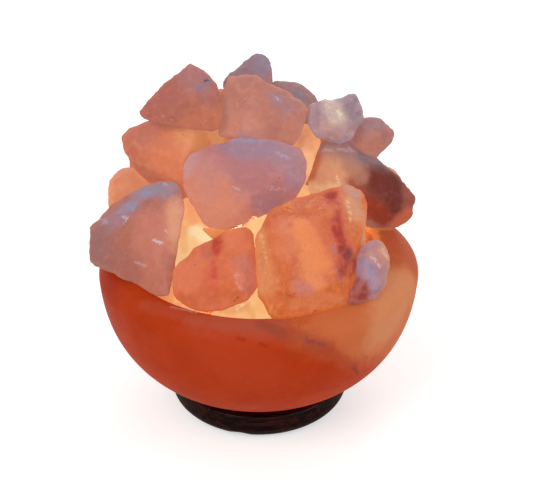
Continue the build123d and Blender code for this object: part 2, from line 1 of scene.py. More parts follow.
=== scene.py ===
# %% [markdown]
# # A salt bowl lamp
# The lamp is a turned bowl of rock salt on a dark wooden foot, heaped with
# rough lumps of salt that a small bulb lights from inside. The solids come
# from the frame, so this lesson is about their skin: worn, cloudy salt with
# veins and flecks, that glows where it is near the bulb.

# %% Load the frame
import bpy, bmesh, json
from math import cos, pi, radians, sin
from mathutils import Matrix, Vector, noise
from mathutils.bvhtree import BVHTree

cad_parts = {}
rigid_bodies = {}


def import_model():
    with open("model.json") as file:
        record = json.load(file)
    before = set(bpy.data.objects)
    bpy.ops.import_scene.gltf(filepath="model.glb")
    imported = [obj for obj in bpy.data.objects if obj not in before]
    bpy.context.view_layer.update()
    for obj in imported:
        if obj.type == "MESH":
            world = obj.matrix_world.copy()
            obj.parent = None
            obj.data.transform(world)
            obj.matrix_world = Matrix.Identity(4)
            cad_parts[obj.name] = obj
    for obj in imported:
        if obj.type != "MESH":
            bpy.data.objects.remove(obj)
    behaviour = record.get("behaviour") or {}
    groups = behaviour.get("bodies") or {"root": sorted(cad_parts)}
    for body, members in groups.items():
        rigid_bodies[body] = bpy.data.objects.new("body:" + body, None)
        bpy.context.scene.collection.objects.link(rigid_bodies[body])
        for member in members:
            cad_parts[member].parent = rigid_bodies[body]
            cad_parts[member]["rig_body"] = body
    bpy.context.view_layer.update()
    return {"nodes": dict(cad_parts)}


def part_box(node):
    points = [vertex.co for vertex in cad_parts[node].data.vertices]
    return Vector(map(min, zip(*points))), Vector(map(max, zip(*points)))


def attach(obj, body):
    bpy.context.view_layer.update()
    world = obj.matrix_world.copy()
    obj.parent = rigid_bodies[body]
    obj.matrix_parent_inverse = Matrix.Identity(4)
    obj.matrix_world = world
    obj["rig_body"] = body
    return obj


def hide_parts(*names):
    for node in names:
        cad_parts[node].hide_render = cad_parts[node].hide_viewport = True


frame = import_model()
nodes = frame["nodes"]
body_of = {name: solid["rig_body"] for name, solid in nodes.items()}
lump_count = sum(name.startswith("chunk_") for name in nodes)
print("frame:", len(nodes), "solids,", lump_count, "of them lumps of salt")

# %% [markdown]
# ## The camera
# A camera is easiest to place from what it looks at. This one looks at a
# point just above the middle of the bowl's rim, from 0.65 m away and 27.8
# degrees above the level. Its lens gives the bowl the size it has in the
# picture. Doing it first lets every later piece be judged in the real view.

# %% Camera
RIM_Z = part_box("salt_bowl")[1].z
AIM_RIGHT, AIM_ABOVE_RIM = 0.007, 0.0007
LOOK_AT = Vector((AIM_RIGHT, 0.0, RIM_Z + AIM_ABOVE_RIM))
TILT, RANGE = radians(27.8), 0.65
LENS, SENSOR = 69.2, 36.0
FRAME_W, FRAME_H = 540, 498
RIGHT = Vector((1, 0, 0))
AHEAD = Vector((0, cos(TILT), -sin(TILT)))
UP = Vector((0, sin(TILT), cos(TILT)))
EYE = LOOK_AT - AHEAD * RANGE
lens = bpy.data.cameras.new("camera")
lens.lens, lens.sensor_width, lens.sensor_fit = LENS, SENSOR, "HORIZONTAL"
camera = bpy.data.objects.new("camera", lens)
camera.location = EYE
camera.rotation_euler = (pi / 2 - TILT, 0, 0)
bpy.context.scene.collection.objects.link(camera)
bpy.context.scene.camera = camera
bpy.context.scene.view_settings.view_transform = "Standard"
print("camera at", [round(c, 3) for c in EYE])

# %% [markdown]
# ## Pointing at a spot
# Stains, veins and painted light have to land on the right place of the
# right lump. The helper below shoots a ray through a spot of the picture and
# gives the point where it meets a solid. What it returns is a plain point in
# space, so a material that uses it looks the same from every side.

# %% Spots on the solids
FOCAL = FRAME_W * LENS / SENSOR
trees = {}


def spot(node, px, py):
    """Point of a solid behind the picture's spot (px, py), counted from its top left."""
    if node not in trees:
        mesh = nodes[node].data
        trees[node] = BVHTree.FromPolygons([v.co for v in mesh.vertices],
                                           [p.vertices for p in mesh.polygons])
    ray = (AHEAD * FOCAL + RIGHT * (px - FRAME_W / 2) + UP * (FRAME_H / 2 - py)).normalized()
    hit = trees[node].ray_cast(EYE, ray)[0]
    if hit is None:
        hit = trees[node].find_nearest(EYE + ray * RANGE)[0]
    return hit


def marks_on(node, marks):
    """Marks given by two spots (px, py) and a radius in mm, as points and metres."""
    return [(spot(node, *start), spot(node, *end), radius / 1000.0, tint, share)
            for start, end, radius, tint, share in marks]


BOWL_FRONT = (260, 370)
print("a spot on the bowl's front:", [round(c, 3) for c in spot("salt_bowl", *BOWL_FRONT)])

# %% [markdown]
# ## A few words for nodes
# A procedural material is sums on numbers and vectors. These helpers place
# one node each and hand on its result, so that the materials further down
# read like formulas.

# %% Node helpers
GIVES_NUMBER = ("DOT_PRODUCT", "DISTANCE")


def tone(r, g, b):
    """A colour given in the screen's 0 to 255 steps, as linear light."""
    def lin(v):
        v /= 255.0
        return v / 12.92 if v <= 0.04045 else ((v + 0.055) / 1.055) ** 2.4
    return (lin(r), lin(g), lin(b), 1.0)


def add(tree, kind, **settings):
    """A new node with its properties set."""
    n = tree.nodes.new(kind)
    for key, value in settings.items():
        setattr(n, key, value)
    return n


def plug(tree, target, value):
    """Link a socket, or set it where value is a plain number or colour."""
    if isinstance(value, bpy.types.NodeSocket):
        tree.links.new(value, target)
    else:
        target.default_value = value


def maths(tree, operation, a, b=None, clamp=False):
    n = add(tree, "ShaderNodeMath", operation=operation, use_clamp=clamp)
    plug(tree, n.inputs[0], a)
    if b is not None:
        plug(tree, n.inputs[1], b)
    return n.outputs[0]


def vectors(tree, operation, a, b):
    n = add(tree, "ShaderNodeVectorMath", operation=operation)
    plug(tree, n.inputs[0], a)
    plug(tree, n.inputs[1], b)
    return n.outputs["Value" if operation in GIVES_NUMBER else "Vector"]


def scaled(tree, vector, by):
    n = add(tree, "ShaderNodeVectorMath", operation="SCALE")
    plug(tree, n.inputs[0], vector)
    plug(tree, n.inputs["Scale"], by)
    return n.outputs["Vector"]


def stretched(tree, where, scale, turn=(0.0, 0.0, 0.0)):
    """Where, turned and then drawn out: the smaller a scale, the longer the pattern."""
    n = add(tree, "ShaderNodeMapping")
    plug(tree, n.inputs["Vector"], where)
    n.inputs["Rotation"].default_value = turn
    n.inputs["Scale"].default_value = scale
    return n.outputs["Vector"]


def cloud(tree, where, scale, detail=3.0, rough=0.55, warp=0.0):
    n = add(tree, "ShaderNodeTexNoise")
    plug(tree, n.inputs["Vector"], where)
    plug(tree, n.inputs["Scale"], scale)
    n.inputs["Detail"].default_value = detail
    n.inputs["Roughness"].default_value = rough
    n.inputs["Distortion"].default_value = warp
    return n.outputs["Fac"]


def between(tree, value, low, high):
    """0 below low, 1 above high, smooth in between."""
    n = add(tree, "ShaderNodeMapRange", interpolation_type="SMOOTHSTEP")
    plug(tree, n.inputs["Value"], value)
    plug(tree, n.inputs["From Min"], low)
    plug(tree, n.inputs["From Max"], high)
    return n.outputs["Result"]


def blend_in(tree, mask, under, over, amount=1.0):
    """Colour under, with colour over laid on where the mask is."""
    n = add(tree, "ShaderNodeMix", data_type="RGBA")
    factor, colour_a, colour_b = n.inputs[0], n.inputs[6], n.inputs[7]
    plug(tree, factor, maths(tree, "MULTIPLY", mask, amount, clamp=True))
    plug(tree, colour_a, under)
    plug(tree, colour_b, over)
    return n.outputs[2]


def relief(tree, height, strength, distance):
    """The normals of a bump with this height."""
    n = add(tree, "ShaderNodeBump")
    n.inputs["Strength"].default_value = strength
    n.inputs["Distance"].default_value = distance
    plug(tree, n.inputs["Height"], height)
    return n.outputs["Normal"]


def new_material(name):
    """A material with its tree and its shader's inputs."""
    m = bpy.data.materials.new(name)
    m.use_nodes = True
    return m, m.node_tree, m.node_tree.nodes["Principled BSDF"].inputs


def set_all(tree, shader, values):
    """Set or link several inputs of a shader by their names."""
    for key, value in values.items():
        plug(tree, shader[key], value)


def place_on(tree):
    """The point of the object's own space that is being coloured."""
    return add(tree, "ShaderNodeTexCoord").outputs["Object"]


print("screen grey 128 is", round(tone(128, 128, 128)[0], 3), "in linear light")

# %% [markdown]
# ## The sky
# The room is an even, faintly warm sky. Where the camera looks past the lamp,
# or sees the sky in something shiny or through glass, it is plain white.

# %% Sky
SKY_TINT, SKY_POWER = (1.0, 0.98, 0.96, 1), 0.60
WHITE = (1, 1, 1, 1)
world = bpy.data.worlds.new("studio")
bpy.context.scene.world = world
world.use_nodes = True
wt = world.node_tree
sky = wt.nodes["Background"]
sky.inputs["Color"].default_value = SKY_TINT
sky.inputs["Strength"].default_value = SKY_POWER
seen_sky = add(wt, "ShaderNodeBackground")
seen_sky.inputs["Color"].default_value = WHITE
rays = add(wt, "ShaderNodeLightPath").outputs
seen = maths(wt, "MAXIMUM", rays["Is Camera Ray"], rays["Is Glossy Ray"])
pick = add(wt, "ShaderNodeMixShader")
plug(wt, pick.inputs[0], maths(wt, "MAXIMUM", seen, rays["Is Transmission Ray"]))
plug(wt, pick.inputs[1], sky.outputs[0])
plug(wt, pick.inputs[2], seen_sky.outputs[0])
plug(wt, wt.nodes["World Output"].inputs["Surface"], pick.outputs[0])
print("sky strength:", SKY_POWER)

# %% [markdown]
# ## The lamps of the studio
# One large soft lamp at the upper left, a weaker one at the right and one
# behind. Together with the sky they light a surface so that its colour comes
# out as it is written.

# %% Studio lamps
AIM = (0, 0, 0.12)


def soft_lamp(name, place, size, power, colour):
    lamp = bpy.data.lights.new(name, "AREA")
    lamp.shape, lamp.size, lamp.energy, lamp.color = "DISK", size, power, colour
    obj = bpy.data.objects.new(name, lamp)
    obj.location = place
    obj.rotation_euler = (Vector(AIM) - Vector(place)).to_track_quat("-Z", "Y").to_euler()
    bpy.context.scene.collection.objects.link(obj)
    return obj


soft = [soft_lamp("key", place=(-0.7, -0.9, 1.1), size=0.8, power=9.0, colour=(1, 0.97, 0.94)),
        soft_lamp("fill", place=(1.0, -0.6, 0.7), size=0.9, power=4.0, colour=(1, 0.98, 0.96)),
        soft_lamp("back", place=(0.2, 1.1, 0.9), size=0.8, power=4.0, colour=(1, 0.98, 0.96))]
print("studio:", len(soft), "soft lamps,", sum(lamp.data.energy for lamp in soft), "W")

# %% [markdown]
# ## The floor
# A large pale sheet takes the lamp's shadow. For the camera alone it is
# lifted by a faint glow of its own, which brings it up to the white round it
# without sending more light onto the object.

# %% Floor
FLOOR_HALF = 3.0
FLOOR_LIFT = 0.50
FLOOR_FINISH = {"Base Color": (0.70, 0.70, 0.70, 1), "Roughness": 0.9, "Specular IOR Level": 0.1}
bm = bmesh.new()
bmesh.ops.create_grid(bm, x_segments=1, y_segments=1, size=FLOOR_HALF)
floor_mesh = bpy.data.meshes.new("floor")
bm.to_mesh(floor_mesh)
bm.free()
floor = bpy.data.objects.new("floor", floor_mesh)
bpy.context.scene.collection.objects.link(floor)
pale, ft, plain = new_material("pale_floor")
set_all(ft, plain, FLOOR_FINISH)
shaded = ft.nodes["Principled BSDF"].outputs[0]
lift = add(ft, "ShaderNodeEmission")
lift.inputs["Strength"].default_value = FLOOR_LIFT
both = add(ft, "ShaderNodeAddShader")
plug(ft, both.inputs[0], shaded)
plug(ft, both.inputs[1], lift.outputs[0])
only_seen = add(ft, "ShaderNodeMixShader")
plug(ft, only_seen.inputs[0], add(ft, "ShaderNodeLightPath").outputs["Is Camera Ray"])
plug(ft, only_seen.inputs[1], shaded)
plug(ft, only_seen.inputs[2], both.outputs[0])
plug(ft, ft.nodes["Material Output"].inputs["Surface"], only_seen.outputs[0])
floor_mesh.materials.append(pale)
print("floor:", 2 * FLOOR_HALF, "m across")

# %% [markdown]
# ## Shared effects: the skin of salt
# Rock salt is one substance in many tints, so its effects are node groups
# that every salt material reuses with its own values. The first, *salt_skin*,
# gives cloudy mottling, pale frosty flecks and painted glints in clusters, dark
# specks, and the fine bumps of a worn, slightly dissolved surface.

# %% Group of the skin
def group(name, ins, outs):
    """A node group: its tree, what it is given and what it puts out."""
    g = bpy.data.node_groups.new(name, "ShaderNodeTree")
    for sockets, way in ((ins, "INPUT"), (outs, "OUTPUT")):
        for socket, kind in sockets.items():
            g.interface.new_socket(socket, in_out=way, socket_type="NodeSocket" + kind)
    return g, g.nodes.new("NodeGroupInput").outputs, g.nodes.new("NodeGroupOutput").inputs


g, given, made = group(
    "salt_skin", {"Where": "Vector", "Seed": "Vector"},
    {"Mottle": "Float", "Fine": "Float", "Flecks": "Float", "Specks": "Float", "Height": "Float"})
where = vectors(g, "ADD", given["Where"], given["Seed"])
plug(g, made["Mottle"], cloud(g, where, scale=42.0, detail=6.0, rough=0.66, warp=0.5))
plug(g, made["Fine"], cloud(g, where, scale=230.0, detail=5.0, rough=0.72))

# each pattern is read at its own distance from the last, so that none line up
FROM_CLUSTERS, FROM_SPECKS, FROM_PITS = (5.2, 0.3, 2.9), (3.1, 1.7, 0.4), (0.7, 2.3, 5.1)
FLECKS_OUTSIDE_CLUSTERS = 0.55
# sparkle is painted glints, frosting the pale frosty patches of the salt
sparkle = between(g, cloud(g, where, scale=560.0, detail=5.0, rough=0.74, warp=0.8), low=0.645, high=0.70)
frosting = between(g, cloud(g, where, scale=260.0, detail=6.0, rough=0.80, warp=0.6), low=0.60, high=0.66)
slow = cloud(g, vectors(g, "ADD", where, FROM_CLUSTERS), scale=34.0, detail=2.0)
clusters = between(g, slow, low=0.53, high=0.62)
sparse = maths(g, "MULTIPLY", sparkle, maths(g, "ADD", clusters, FLECKS_OUTSIDE_CLUSTERS))
plug(g, made["Flecks"], maths(g, "ADD", sparse, maths(g, "MULTIPLY", frosting, clusters), clamp=True))

SPECK_CELLS, SPECK_EDGE, SPECK_CORE = 110.0, 0.085, 0.050
dots = add(g, "ShaderNodeTexVoronoi")
plug(g, dots.inputs["Vector"], where)
dots.inputs["Scale"].default_value = SPECK_CELLS
near_dot = between(g, dots.outputs["Distance"], SPECK_EDGE, SPECK_CORE)
few = between(g, cloud(g, vectors(g, "ADD", where, FROM_SPECKS), scale=60.0, detail=1.0), low=0.56, high=0.62)
plug(g, made["Specks"], maths(g, "MULTIPLY", near_dot, few))

WAVE_HEIGHT, GRIT_HEIGHT, PIT_DEPTH = 0.9, 0.36, 0.18
waves = cloud(g, where, scale=130.0, detail=5.0, rough=0.66, warp=0.4)
grit = cloud(g, where, scale=800.0, detail=3.0, rough=0.7)
quick = cloud(g, vectors(g, "ADD", where, FROM_PITS), scale=260.0, detail=2.0)
holes = between(g, quick, low=0.60, high=0.70)
raised = maths(g, "ADD", maths(g, "MULTIPLY", waves, WAVE_HEIGHT), maths(g, "MULTIPLY", grit, GRIT_HEIGHT))
plug(g, made["Height"], maths(g, "SUBTRACT", raised, maths(g, "MULTIPLY", holes, PIT_DEPTH)))
print("group", g.name, "gives", [socket.name for socket in made if socket.name])

# %% [markdown]
# ## Stains and painted light
# A mark is a soft patch or streak with a ragged edge. Some marks are stains,
# others painted light: glints, glows and reflections. Each is measured as the
# distance to a line from Start to End, divided by the radius, and noise of
# about the mark's own size moves that distance in and out.

# %% Group of the stain
g, given, made = group(
    "stain", {"Where": "Vector", "Start": "Vector", "End": "Vector", "Radius": "Float", "Ragged": "Float"},
    {"Mask": "Float"})
NEVER_ZERO = 1e-9
EDGE_WAVES = 0.9
OUTSIDE, INSIDE = 1.25, 0.35
way = vectors(g, "SUBTRACT", given["End"], given["Start"])
from_start = vectors(g, "SUBTRACT", given["Where"], given["Start"])
length_2 = maths(g, "ADD", vectors(g, "DOT_PRODUCT", way, way), NEVER_ZERO)
along = maths(g, "DIVIDE", vectors(g, "DOT_PRODUCT", from_start, way), length_2, clamp=True)
apart = vectors(g, "DISTANCE", from_start, scaled(g, way, along))
share = maths(g, "DIVIDE", apart, given["Radius"])
edge_scale = maths(g, "DIVIDE", EDGE_WAVES, given["Radius"])
coarse = maths(g, "SUBTRACT", cloud(g, given["Where"], edge_scale, detail=6.0, rough=0.70), 0.5)
ragged_share = maths(g, "ADD", share, maths(g, "MULTIPLY", coarse, given["Ragged"]))
plug(g, made["Mask"], between(g, ragged_share, OUTSIDE, INSIDE))
print("group", g.name, "takes", [socket.name for socket in given if socket.name])

# %% [markdown]
# ## The border between two tints
# A block of salt is often two tints that met under ground. The *split* is a
# plane through a point, made wavy by slow noise, with a broken line of darker
# flecks along it.

# %% Group of the split
g, given, made = group(
    "split", {"Where": "Vector", "Point": "Vector", "Across": "Vector", "Width": "Float", "Wave": "Float"},
    {"Mask": "Float", "Line": "Float"})
side = vectors(g, "DOT_PRODUCT", vectors(g, "SUBTRACT", given["Where"], given["Point"]), given["Across"])
slow = maths(g, "SUBTRACT", cloud(g, given["Where"], scale=30.0, detail=4.0, rough=0.62), 0.5)
bent = maths(g, "ADD", side, maths(g, "MULTIPLY", slow, given["Wave"]))
far = maths(g, "DIVIDE", bent, given["Width"])
plug(g, made["Mask"], between(g, far, low=-1.0, high=1.0))
broken = between(g, cloud(g, given["Where"], scale=210.0, detail=3.0, rough=0.7), low=0.60, high=0.68)
beside = between(g, maths(g, "ABSOLUTE", far), low=1.0, high=0.1)
plug(g, made["Line"], maths(g, "MULTIPLY", beside, broken))
print("group", g.name, "gives", [socket.name for socket in made if socket.name])

# %% [markdown]
# ## Fibres and the reach of the bulb
# *Fibres* are fine upright strands, as in fibrous salt: two noises drawn out
# along the height, a thick and a thin one. *near_lamp* is 1 beside the bulb
# and falls off with the distance.

# %% Groups of the fibres and of the bulb's reach
STRAND_TURN, STRAND_DRAWN = (0.15, 0.10, 0.0), (1.0, 1.0, 0.14)


def weighted(tree, first, first_share, second, second_share):
    return maths(tree, "ADD", maths(tree, "MULTIPLY", first, first_share),
                 maths(tree, "MULTIPLY", second, second_share))


g, given, made = group("fibres", {"Where": "Vector", "Seed": "Vector"},
                       {"Streaks": "Float", "Height": "Float"})
drawn = stretched(g, vectors(g, "ADD", given["Where"], given["Seed"]), STRAND_DRAWN, STRAND_TURN)
thick = cloud(g, drawn, scale=105.0, detail=3.0, rough=0.55, warp=0.9)
thin = cloud(g, drawn, scale=400.0, detail=3.0, rough=0.6, warp=0.5)
plug(g, made["Streaks"], weighted(g, thick, 0.75, thin, 0.25))
plug(g, made["Height"], weighted(g, thick, 0.6, thin, 0.5))

g, given, made = group("near_lamp", {"Where": "Vector", "Lamp": "Vector", "Reach": "Float"},
                       {"Mask": "Float"})
gap = vectors(g, "DISTANCE", given["Where"], given["Lamp"])
plug(g, made["Mask"], between(g, maths(g, "DIVIDE", gap, given["Reach"]), low=1.0, high=0.3))
print("node groups:", [tree.name for tree in bpy.data.node_groups])

# %% [markdown]
# ## The layers of a salt
# The colour of a lump is built up in layers, and each is a short function
# that takes the colour so far and gives the next: the second tint, the
# strands, the marks, painted cool light of the sky on faces that look up,
# the pale wear of the ridges and the fine grain.

# %% Layers of colour
SPLIT_WAVE, LINE_SHARE = 0.030, 0.6
STRAND_DARK, STRAND_LIGHT, STRAND_SHARE, STRAND_HEIGHT = (190, 84, 44), (248, 164, 92), 0.55, 3.0
SMALL_MARK, DARK_MARK, BROKEN_UP = 0.0026, 40, 5.5
COOL, COOL_UNEVEN = (164, 134, 152), 1.3
WORN_LIGHTER, WORN_EVENLY = 34, 0.35


def use(tree, name, **values):
    """A node group in a material, with its inputs set. Gives its outputs."""
    n = add(tree, "ShaderNodeGroup", node_tree=bpy.data.node_groups[name])
    for key, value in values.items():
        plug(tree, n.inputs[key], value)
    return n.outputs


def second_tint(t, where, colour, point, across, width, tint, fleck_tint):
    two = use(t, "split", Where=where, Point=point, Across=Vector(across).normalized(), Width=width,
              Wave=SPLIT_WAVE)
    colour = blend_in(t, two["Mask"], colour, tone(*tint))
    return blend_in(t, two["Line"], colour, tone(*fleck_tint), LINE_SHARE)


def stranded(t, where, offset, colour, height, fibres):
    strand = use(t, "fibres", Where=where, Seed=offset)
    grooves = between(t, strand["Streaks"], low=0.50, high=0.36)
    crests = between(t, strand["Streaks"], low=0.54, high=0.66)
    colour = blend_in(t, grooves, colour, tone(*STRAND_DARK), fibres * STRAND_SHARE)
    colour = blend_in(t, crests, colour, tone(*STRAND_LIGHT), fibres * STRAND_SHARE)
    return colour, maths(t, "ADD", height, maths(t, "MULTIPLY", strand["Height"], STRAND_HEIGHT * fibres))


def marked(t, where, colour, marks, ragged):
    """Marks laid on one after the other, stains and painted light alike. Small
    pale ones break up into glints.
    """
    for start, end, radius, tint, share in marks:
        edge = BROKEN_UP if radius < SMALL_MARK and min(tint) > DARK_MARK else ragged
        mark = use(t, "stain", Where=where, Start=start, End=end, Radius=radius, Ragged=edge)
        colour = blend_in(t, mark["Mask"], colour, tone(*tint), share)
    return colour


def cooled(t, skin, colour, haze):
    """Painted cool light of the sky, on faces that look up."""
    way_up = add(t, "ShaderNodeSeparateXYZ")
    plug(t, way_up.inputs[0], add(t, "ShaderNodeNewGeometry").outputs["Normal"])
    uneven = maths(t, "MULTIPLY", maths(t, "SUBTRACT", skin["Mottle"], 0.5), COOL_UNEVEN)
    upward = between(t, maths(t, "ADD", way_up.outputs["Z"], uneven), low=0.30, high=1.10)
    return blend_in(t, upward, colour, tone(*COOL), haze)


def rubbed(t, skin, colour, body, frost):
    """Paler ridges, where the attribute that the shaping leaves on a lump says so."""
    worn = add(t, "ShaderNodeAttribute", attribute_name="worn").outputs["Fac"]
    ridges = between(t, worn, low=0.52, high=0.80)
    patchy = maths(t, "MULTIPLY", ridges, maths(t, "ADD", skin["Fine"], WORN_EVENLY))
    return blend_in(t, patchy, colour, tone(*[min(255, part + WORN_LIGHTER) for part in body]), frost)


def grained(t, skin, colour, grainy):
    fine = add(t, "ShaderNodeMapRange")
    plug(t, fine.inputs["Value"], skin["Fine"])
    fine.inputs["From Min"].default_value, fine.inputs["From Max"].default_value = 0.25, 0.75
    fine.inputs["To Min"].default_value, fine.inputs["To Max"].default_value = 1.0 - grainy, 1.0 + grainy
    return scaled(t, colour, fine.outputs["Result"])


print("marks under", SMALL_MARK * 1000, "mm break up into glints")

# %% [markdown]
# ## One recipe for salt
# A lump is lit twice: by the room, and by the bulb through its own cloudy
# body. The recipe splits its colour the same way. A share of it is ordinary
# reflection, the rest comes out as a faint glow, stronger towards the bulb.

# %% The salt material
ABOVE_BULB = 0.006
LAMP = Vector((0, 0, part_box("bulb_glass")[1].z + ABOVE_BULB))
FLECK_TINT, FLECK_SHARE, SPECK_TINT = (226, 200, 200), 0.65, (96, 44, 36)
RELIEF_DEPTH, HEAT_SHINE = 0.0012, 0.9
DULLER, DULLER_MIDDLE = 0.25, 0.12
UNDER_SKIN = {"Subsurface Weight": 0.12, "Subsurface Radius": (1.0, 0.45, 0.25), "Subsurface Scale": 0.006}


def salt(name, body, shade, marks=(), split=None, seed=0.0, glow=0.57, reach=0.10, heat=0.0,
         hot=(255, 214, 150), rough=0.6, bump=0.5, flecks=0.5, specks=0.6, haze=0.0, fibres=0.0,
         ragged=1.1, gloss=0.12, frost=0.20, grainy=0.055):
    """Salt in one tint. marks are (start, end, radius, tint, share), split is
    (point, across, width, tint, tint of the broken border line). glow is the
    share of the colour that is painted glow; beside the bulb, painted light of
    the bulb turns the colour paler and brighter."""
    m, t, shader = new_material(name)
    where = place_on(t)
    offset = (seed, seed * 0.7, seed * 1.3)
    skin = use(t, "salt_skin", Where=where, Seed=offset)
    colour = blend_in(t, between(t, skin["Mottle"], low=0.32, high=0.68), tone(*body), tone(*shade))
    height = skin["Height"]
    if split:
        colour = second_tint(t, where, colour, *split)
    if fibres:
        colour, height = stranded(t, where, offset, colour, height, fibres)
    colour = marked(t, where, colour, marks, ragged)
    # painted cool light of the sky on the faces that look up
    if haze:
        colour = cooled(t, skin, colour, haze)
    colour = grained(t, skin, rubbed(t, skin, colour, body, frost), grainy)
    # pale frosty flecks of the salt, and painted glints
    colour = blend_in(t, skin["Flecks"], colour, tone(*FLECK_TINT), flecks * FLECK_SHARE)
    colour = blend_in(t, skin["Specks"], colour, tone(*SPECK_TINT), specks)
    near = use(t, "near_lamp", Where=where, Lamp=LAMP, Reach=reach)["Mask"]
    # painted light of the bulb: the colour turns paler and brighter beside it
    if heat:
        colour = blend_in(t, near, colour, tone(*hot), heat)
    shine = maths(t, "ADD", maths(t, "MULTIPLY", near, heat * HEAT_SHINE), glow)
    duller = maths(t, "MULTIPLY", skin["Mottle"], DULLER)
    set_all(t, shader, {
        "Base Color": scaled(t, colour, 1.0 - glow), "Emission Color": scaled(t, colour, shine),
        "Emission Strength": 1.0, "Roughness": maths(t, "ADD", duller, rough - DULLER_MIDDLE),
        "Specular IOR Level": gloss, "Normal": relief(t, height, strength=bump, distance=RELIEF_DEPTH)})
    set_all(t, shader, UNDER_SKIN)
    return m


print("bulb's light starts at z =", round(LAMP.z, 4))

# %% [markdown]
# ## The bowl
# The bowl is turned and polished, so it is one profile spun round its axis.
# Its inside and outside are the same full curve at two sizes, which a formula
# gives: the deeper, the further the wall has come in. The flat rim joins
# them with a broad rounding outside and a small one inside.

# %% Shape of the bowl
BOWL_R, BOWL_DEPTH, POWER = 0.09998, 0.090, 2.5
CAVITY_R, CAVITY_DEPTH = 0.0795, 0.062
FLOOR_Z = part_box("salt_bowl")[0].z
BORE_R, FOOT_SEAT_R, FLOOR_BEVEL = 0.021, 0.030, 0.0012
RIM_ROUND = 0.010
OUTSIDE_STEPS, RIM_STEPS, INSIDE_STEPS, TURN_STEPS = 28, 9, 20, 160
RIM_FLAT = [(0.0870, RIM_Z), (0.0845, RIM_Z)]
INNER_LIP = [(0.0822, RIM_Z - 0.0002), (0.0806, RIM_Z - 0.0009)]
LIP_DROP, BOTTOM_GAP = 0.0025, 0.0035


def full_curve(radius, depth, z):
    """Radius of the bowl's curve at height z."""
    return radius * max(0.0, 1.0 - ((RIM_Z - z) / depth) ** POWER) ** (1.0 / POWER)


def spin_profile(name, profile):
    """A solid of revolution from (radius, height) points that close on themselves."""
    bm = bmesh.new()
    ring = [bm.verts.new((r, 0, z)) for r, z in profile]
    edges = [bm.edges.new((a, b)) for a, b in zip(ring, ring[1:] + ring[:1])]
    bmesh.ops.spin(bm, geom=ring + edges, axis=(0, 0, 1), cent=(0, 0, 0), angle=2 * pi, steps=TURN_STEPS,
                   use_merge=True)
    bmesh.ops.remove_doubles(bm, verts=bm.verts, dist=1e-6)
    bmesh.ops.recalc_face_normals(bm, faces=bm.faces)
    for f in bm.faces:
        f.smooth = True
    m = bpy.data.meshes.new(name)
    bm.to_mesh(m)
    bm.free()
    obj = bpy.data.objects.new(name, m)
    bpy.context.scene.collection.objects.link(obj)
    return obj


outside = []
for k in range(OUTSIDE_STEPS + 1):
    drop = RIM_ROUND + (RIM_Z - FLOOR_Z - RIM_ROUND) * k / OUTSIDE_STEPS
    outside.append((full_curve(BOWL_R, BOWL_DEPTH, RIM_Z - drop), RIM_Z - drop))
bottom = [(BORE_R, FLOOR_Z), (FOOT_SEAT_R, FLOOR_Z), (outside[-1][0] - FLOOR_BEVEL, FLOOR_Z)]
profile = bottom + outside[::-1]
lip_r = profile[-1][0]
for k in range(1, RIM_STEPS + 1):
    a = radians(10 * k)
    profile.append((lip_r - RIM_ROUND * (1 - cos(a)), RIM_Z - RIM_ROUND * (1 - sin(a))))
profile += RIM_FLAT + INNER_LIP
for k in range(INSIDE_STEPS + 1):
    drop = LIP_DROP + (CAVITY_DEPTH - BOTTOM_GAP) * sin(radians(90 * k / INSIDE_STEPS))
    profile.append((full_curve(CAVITY_R, CAVITY_DEPTH, RIM_Z - drop), RIM_Z - drop))
profile.append((BORE_R, profile[-1][1]))
bowl = spin_profile("bowl", profile)
print("bowl:", len(bowl.data.polygons), "faces,", round(bowl.dimensions.x, 4), "m across")

# %% [markdown]
# ## The bowl's two tints
# The bowl is cut from a block where orange-red salt meets a paler orange.
# The border runs down to the right and has brown and blue-grey flecks. The
# marks add the pale rim, with a painted reflection as a pale streak at its
# front, the darker left side and a painted glow of the bulb's light at the
# lips.

# %% Finish of the bowl
BORDER_SPOT, BORDER_ACROSS, BORDER_WIDTH = (312, 347), (0.62, 0.0, 0.78), 0.010
BORDER_TINT, BORDER_FLECKS = (196, 102, 60), (104, 58, 66)
# each mark: from spot, to spot, radius in mm, tint, share
# pale orange marks at the lips: painted glow of the bulb; pale streak at the rim's front left: painted
# reflection
bowl_marks = (
    ((398, 284), (390, 318), 22, (206, 132, 88), 0.9), ((402, 236), (416, 262), 24, (180, 84, 52), 0.9),
    ((222, 321), (278, 324), 9, (172, 80, 62), 0.7), ((172, 307), (196, 312), 1.5, (190, 120, 116), 0.7),
    ((104, 290), (112, 322), 20, (156, 44, 18), 0.8), ((215, 352), (260, 372), 24, (184, 62, 30), 0.6),
    ((190, 396), (330, 398), 16, (168, 50, 4), 0.8), ((112, 322), (130, 350), 18, (186, 64, 24), 0.35),
    ((198, 311), (222, 315), 2.8, (238, 140, 84), 0.9), ((370, 224), (380, 247), 5, (238, 142, 80), 0.9),
    ((378, 229), (389, 229), 2.6, (206, 124, 78), 0.8), ((146, 304), (196, 320), 6, (176, 74, 50), 0.5),
    ((196, 320), (262, 330), 7, (174, 80, 58), 0.55), ((238, 338), (244, 340), 1.5, (154, 42, 20), 0.6),
    ((260, 344), (266, 346), 1.3, (150, 42, 20), 0.5), ((308, 341), (314, 342), 1.4, (112, 64, 70), 0.8),
    ((318, 343), (324, 345), 1.2, (104, 66, 80), 0.7), ((262, 325), (280, 333), 5.0, (140, 68, 52), 0.6),
    ((290, 335), (326, 349), 6.0, (158, 66, 46), 0.6), ((330, 352), (352, 366), 5.0, (170, 68, 38), 0.6),
    ((354, 368), (358, 374), 1.4, (128, 56, 40), 0.7))
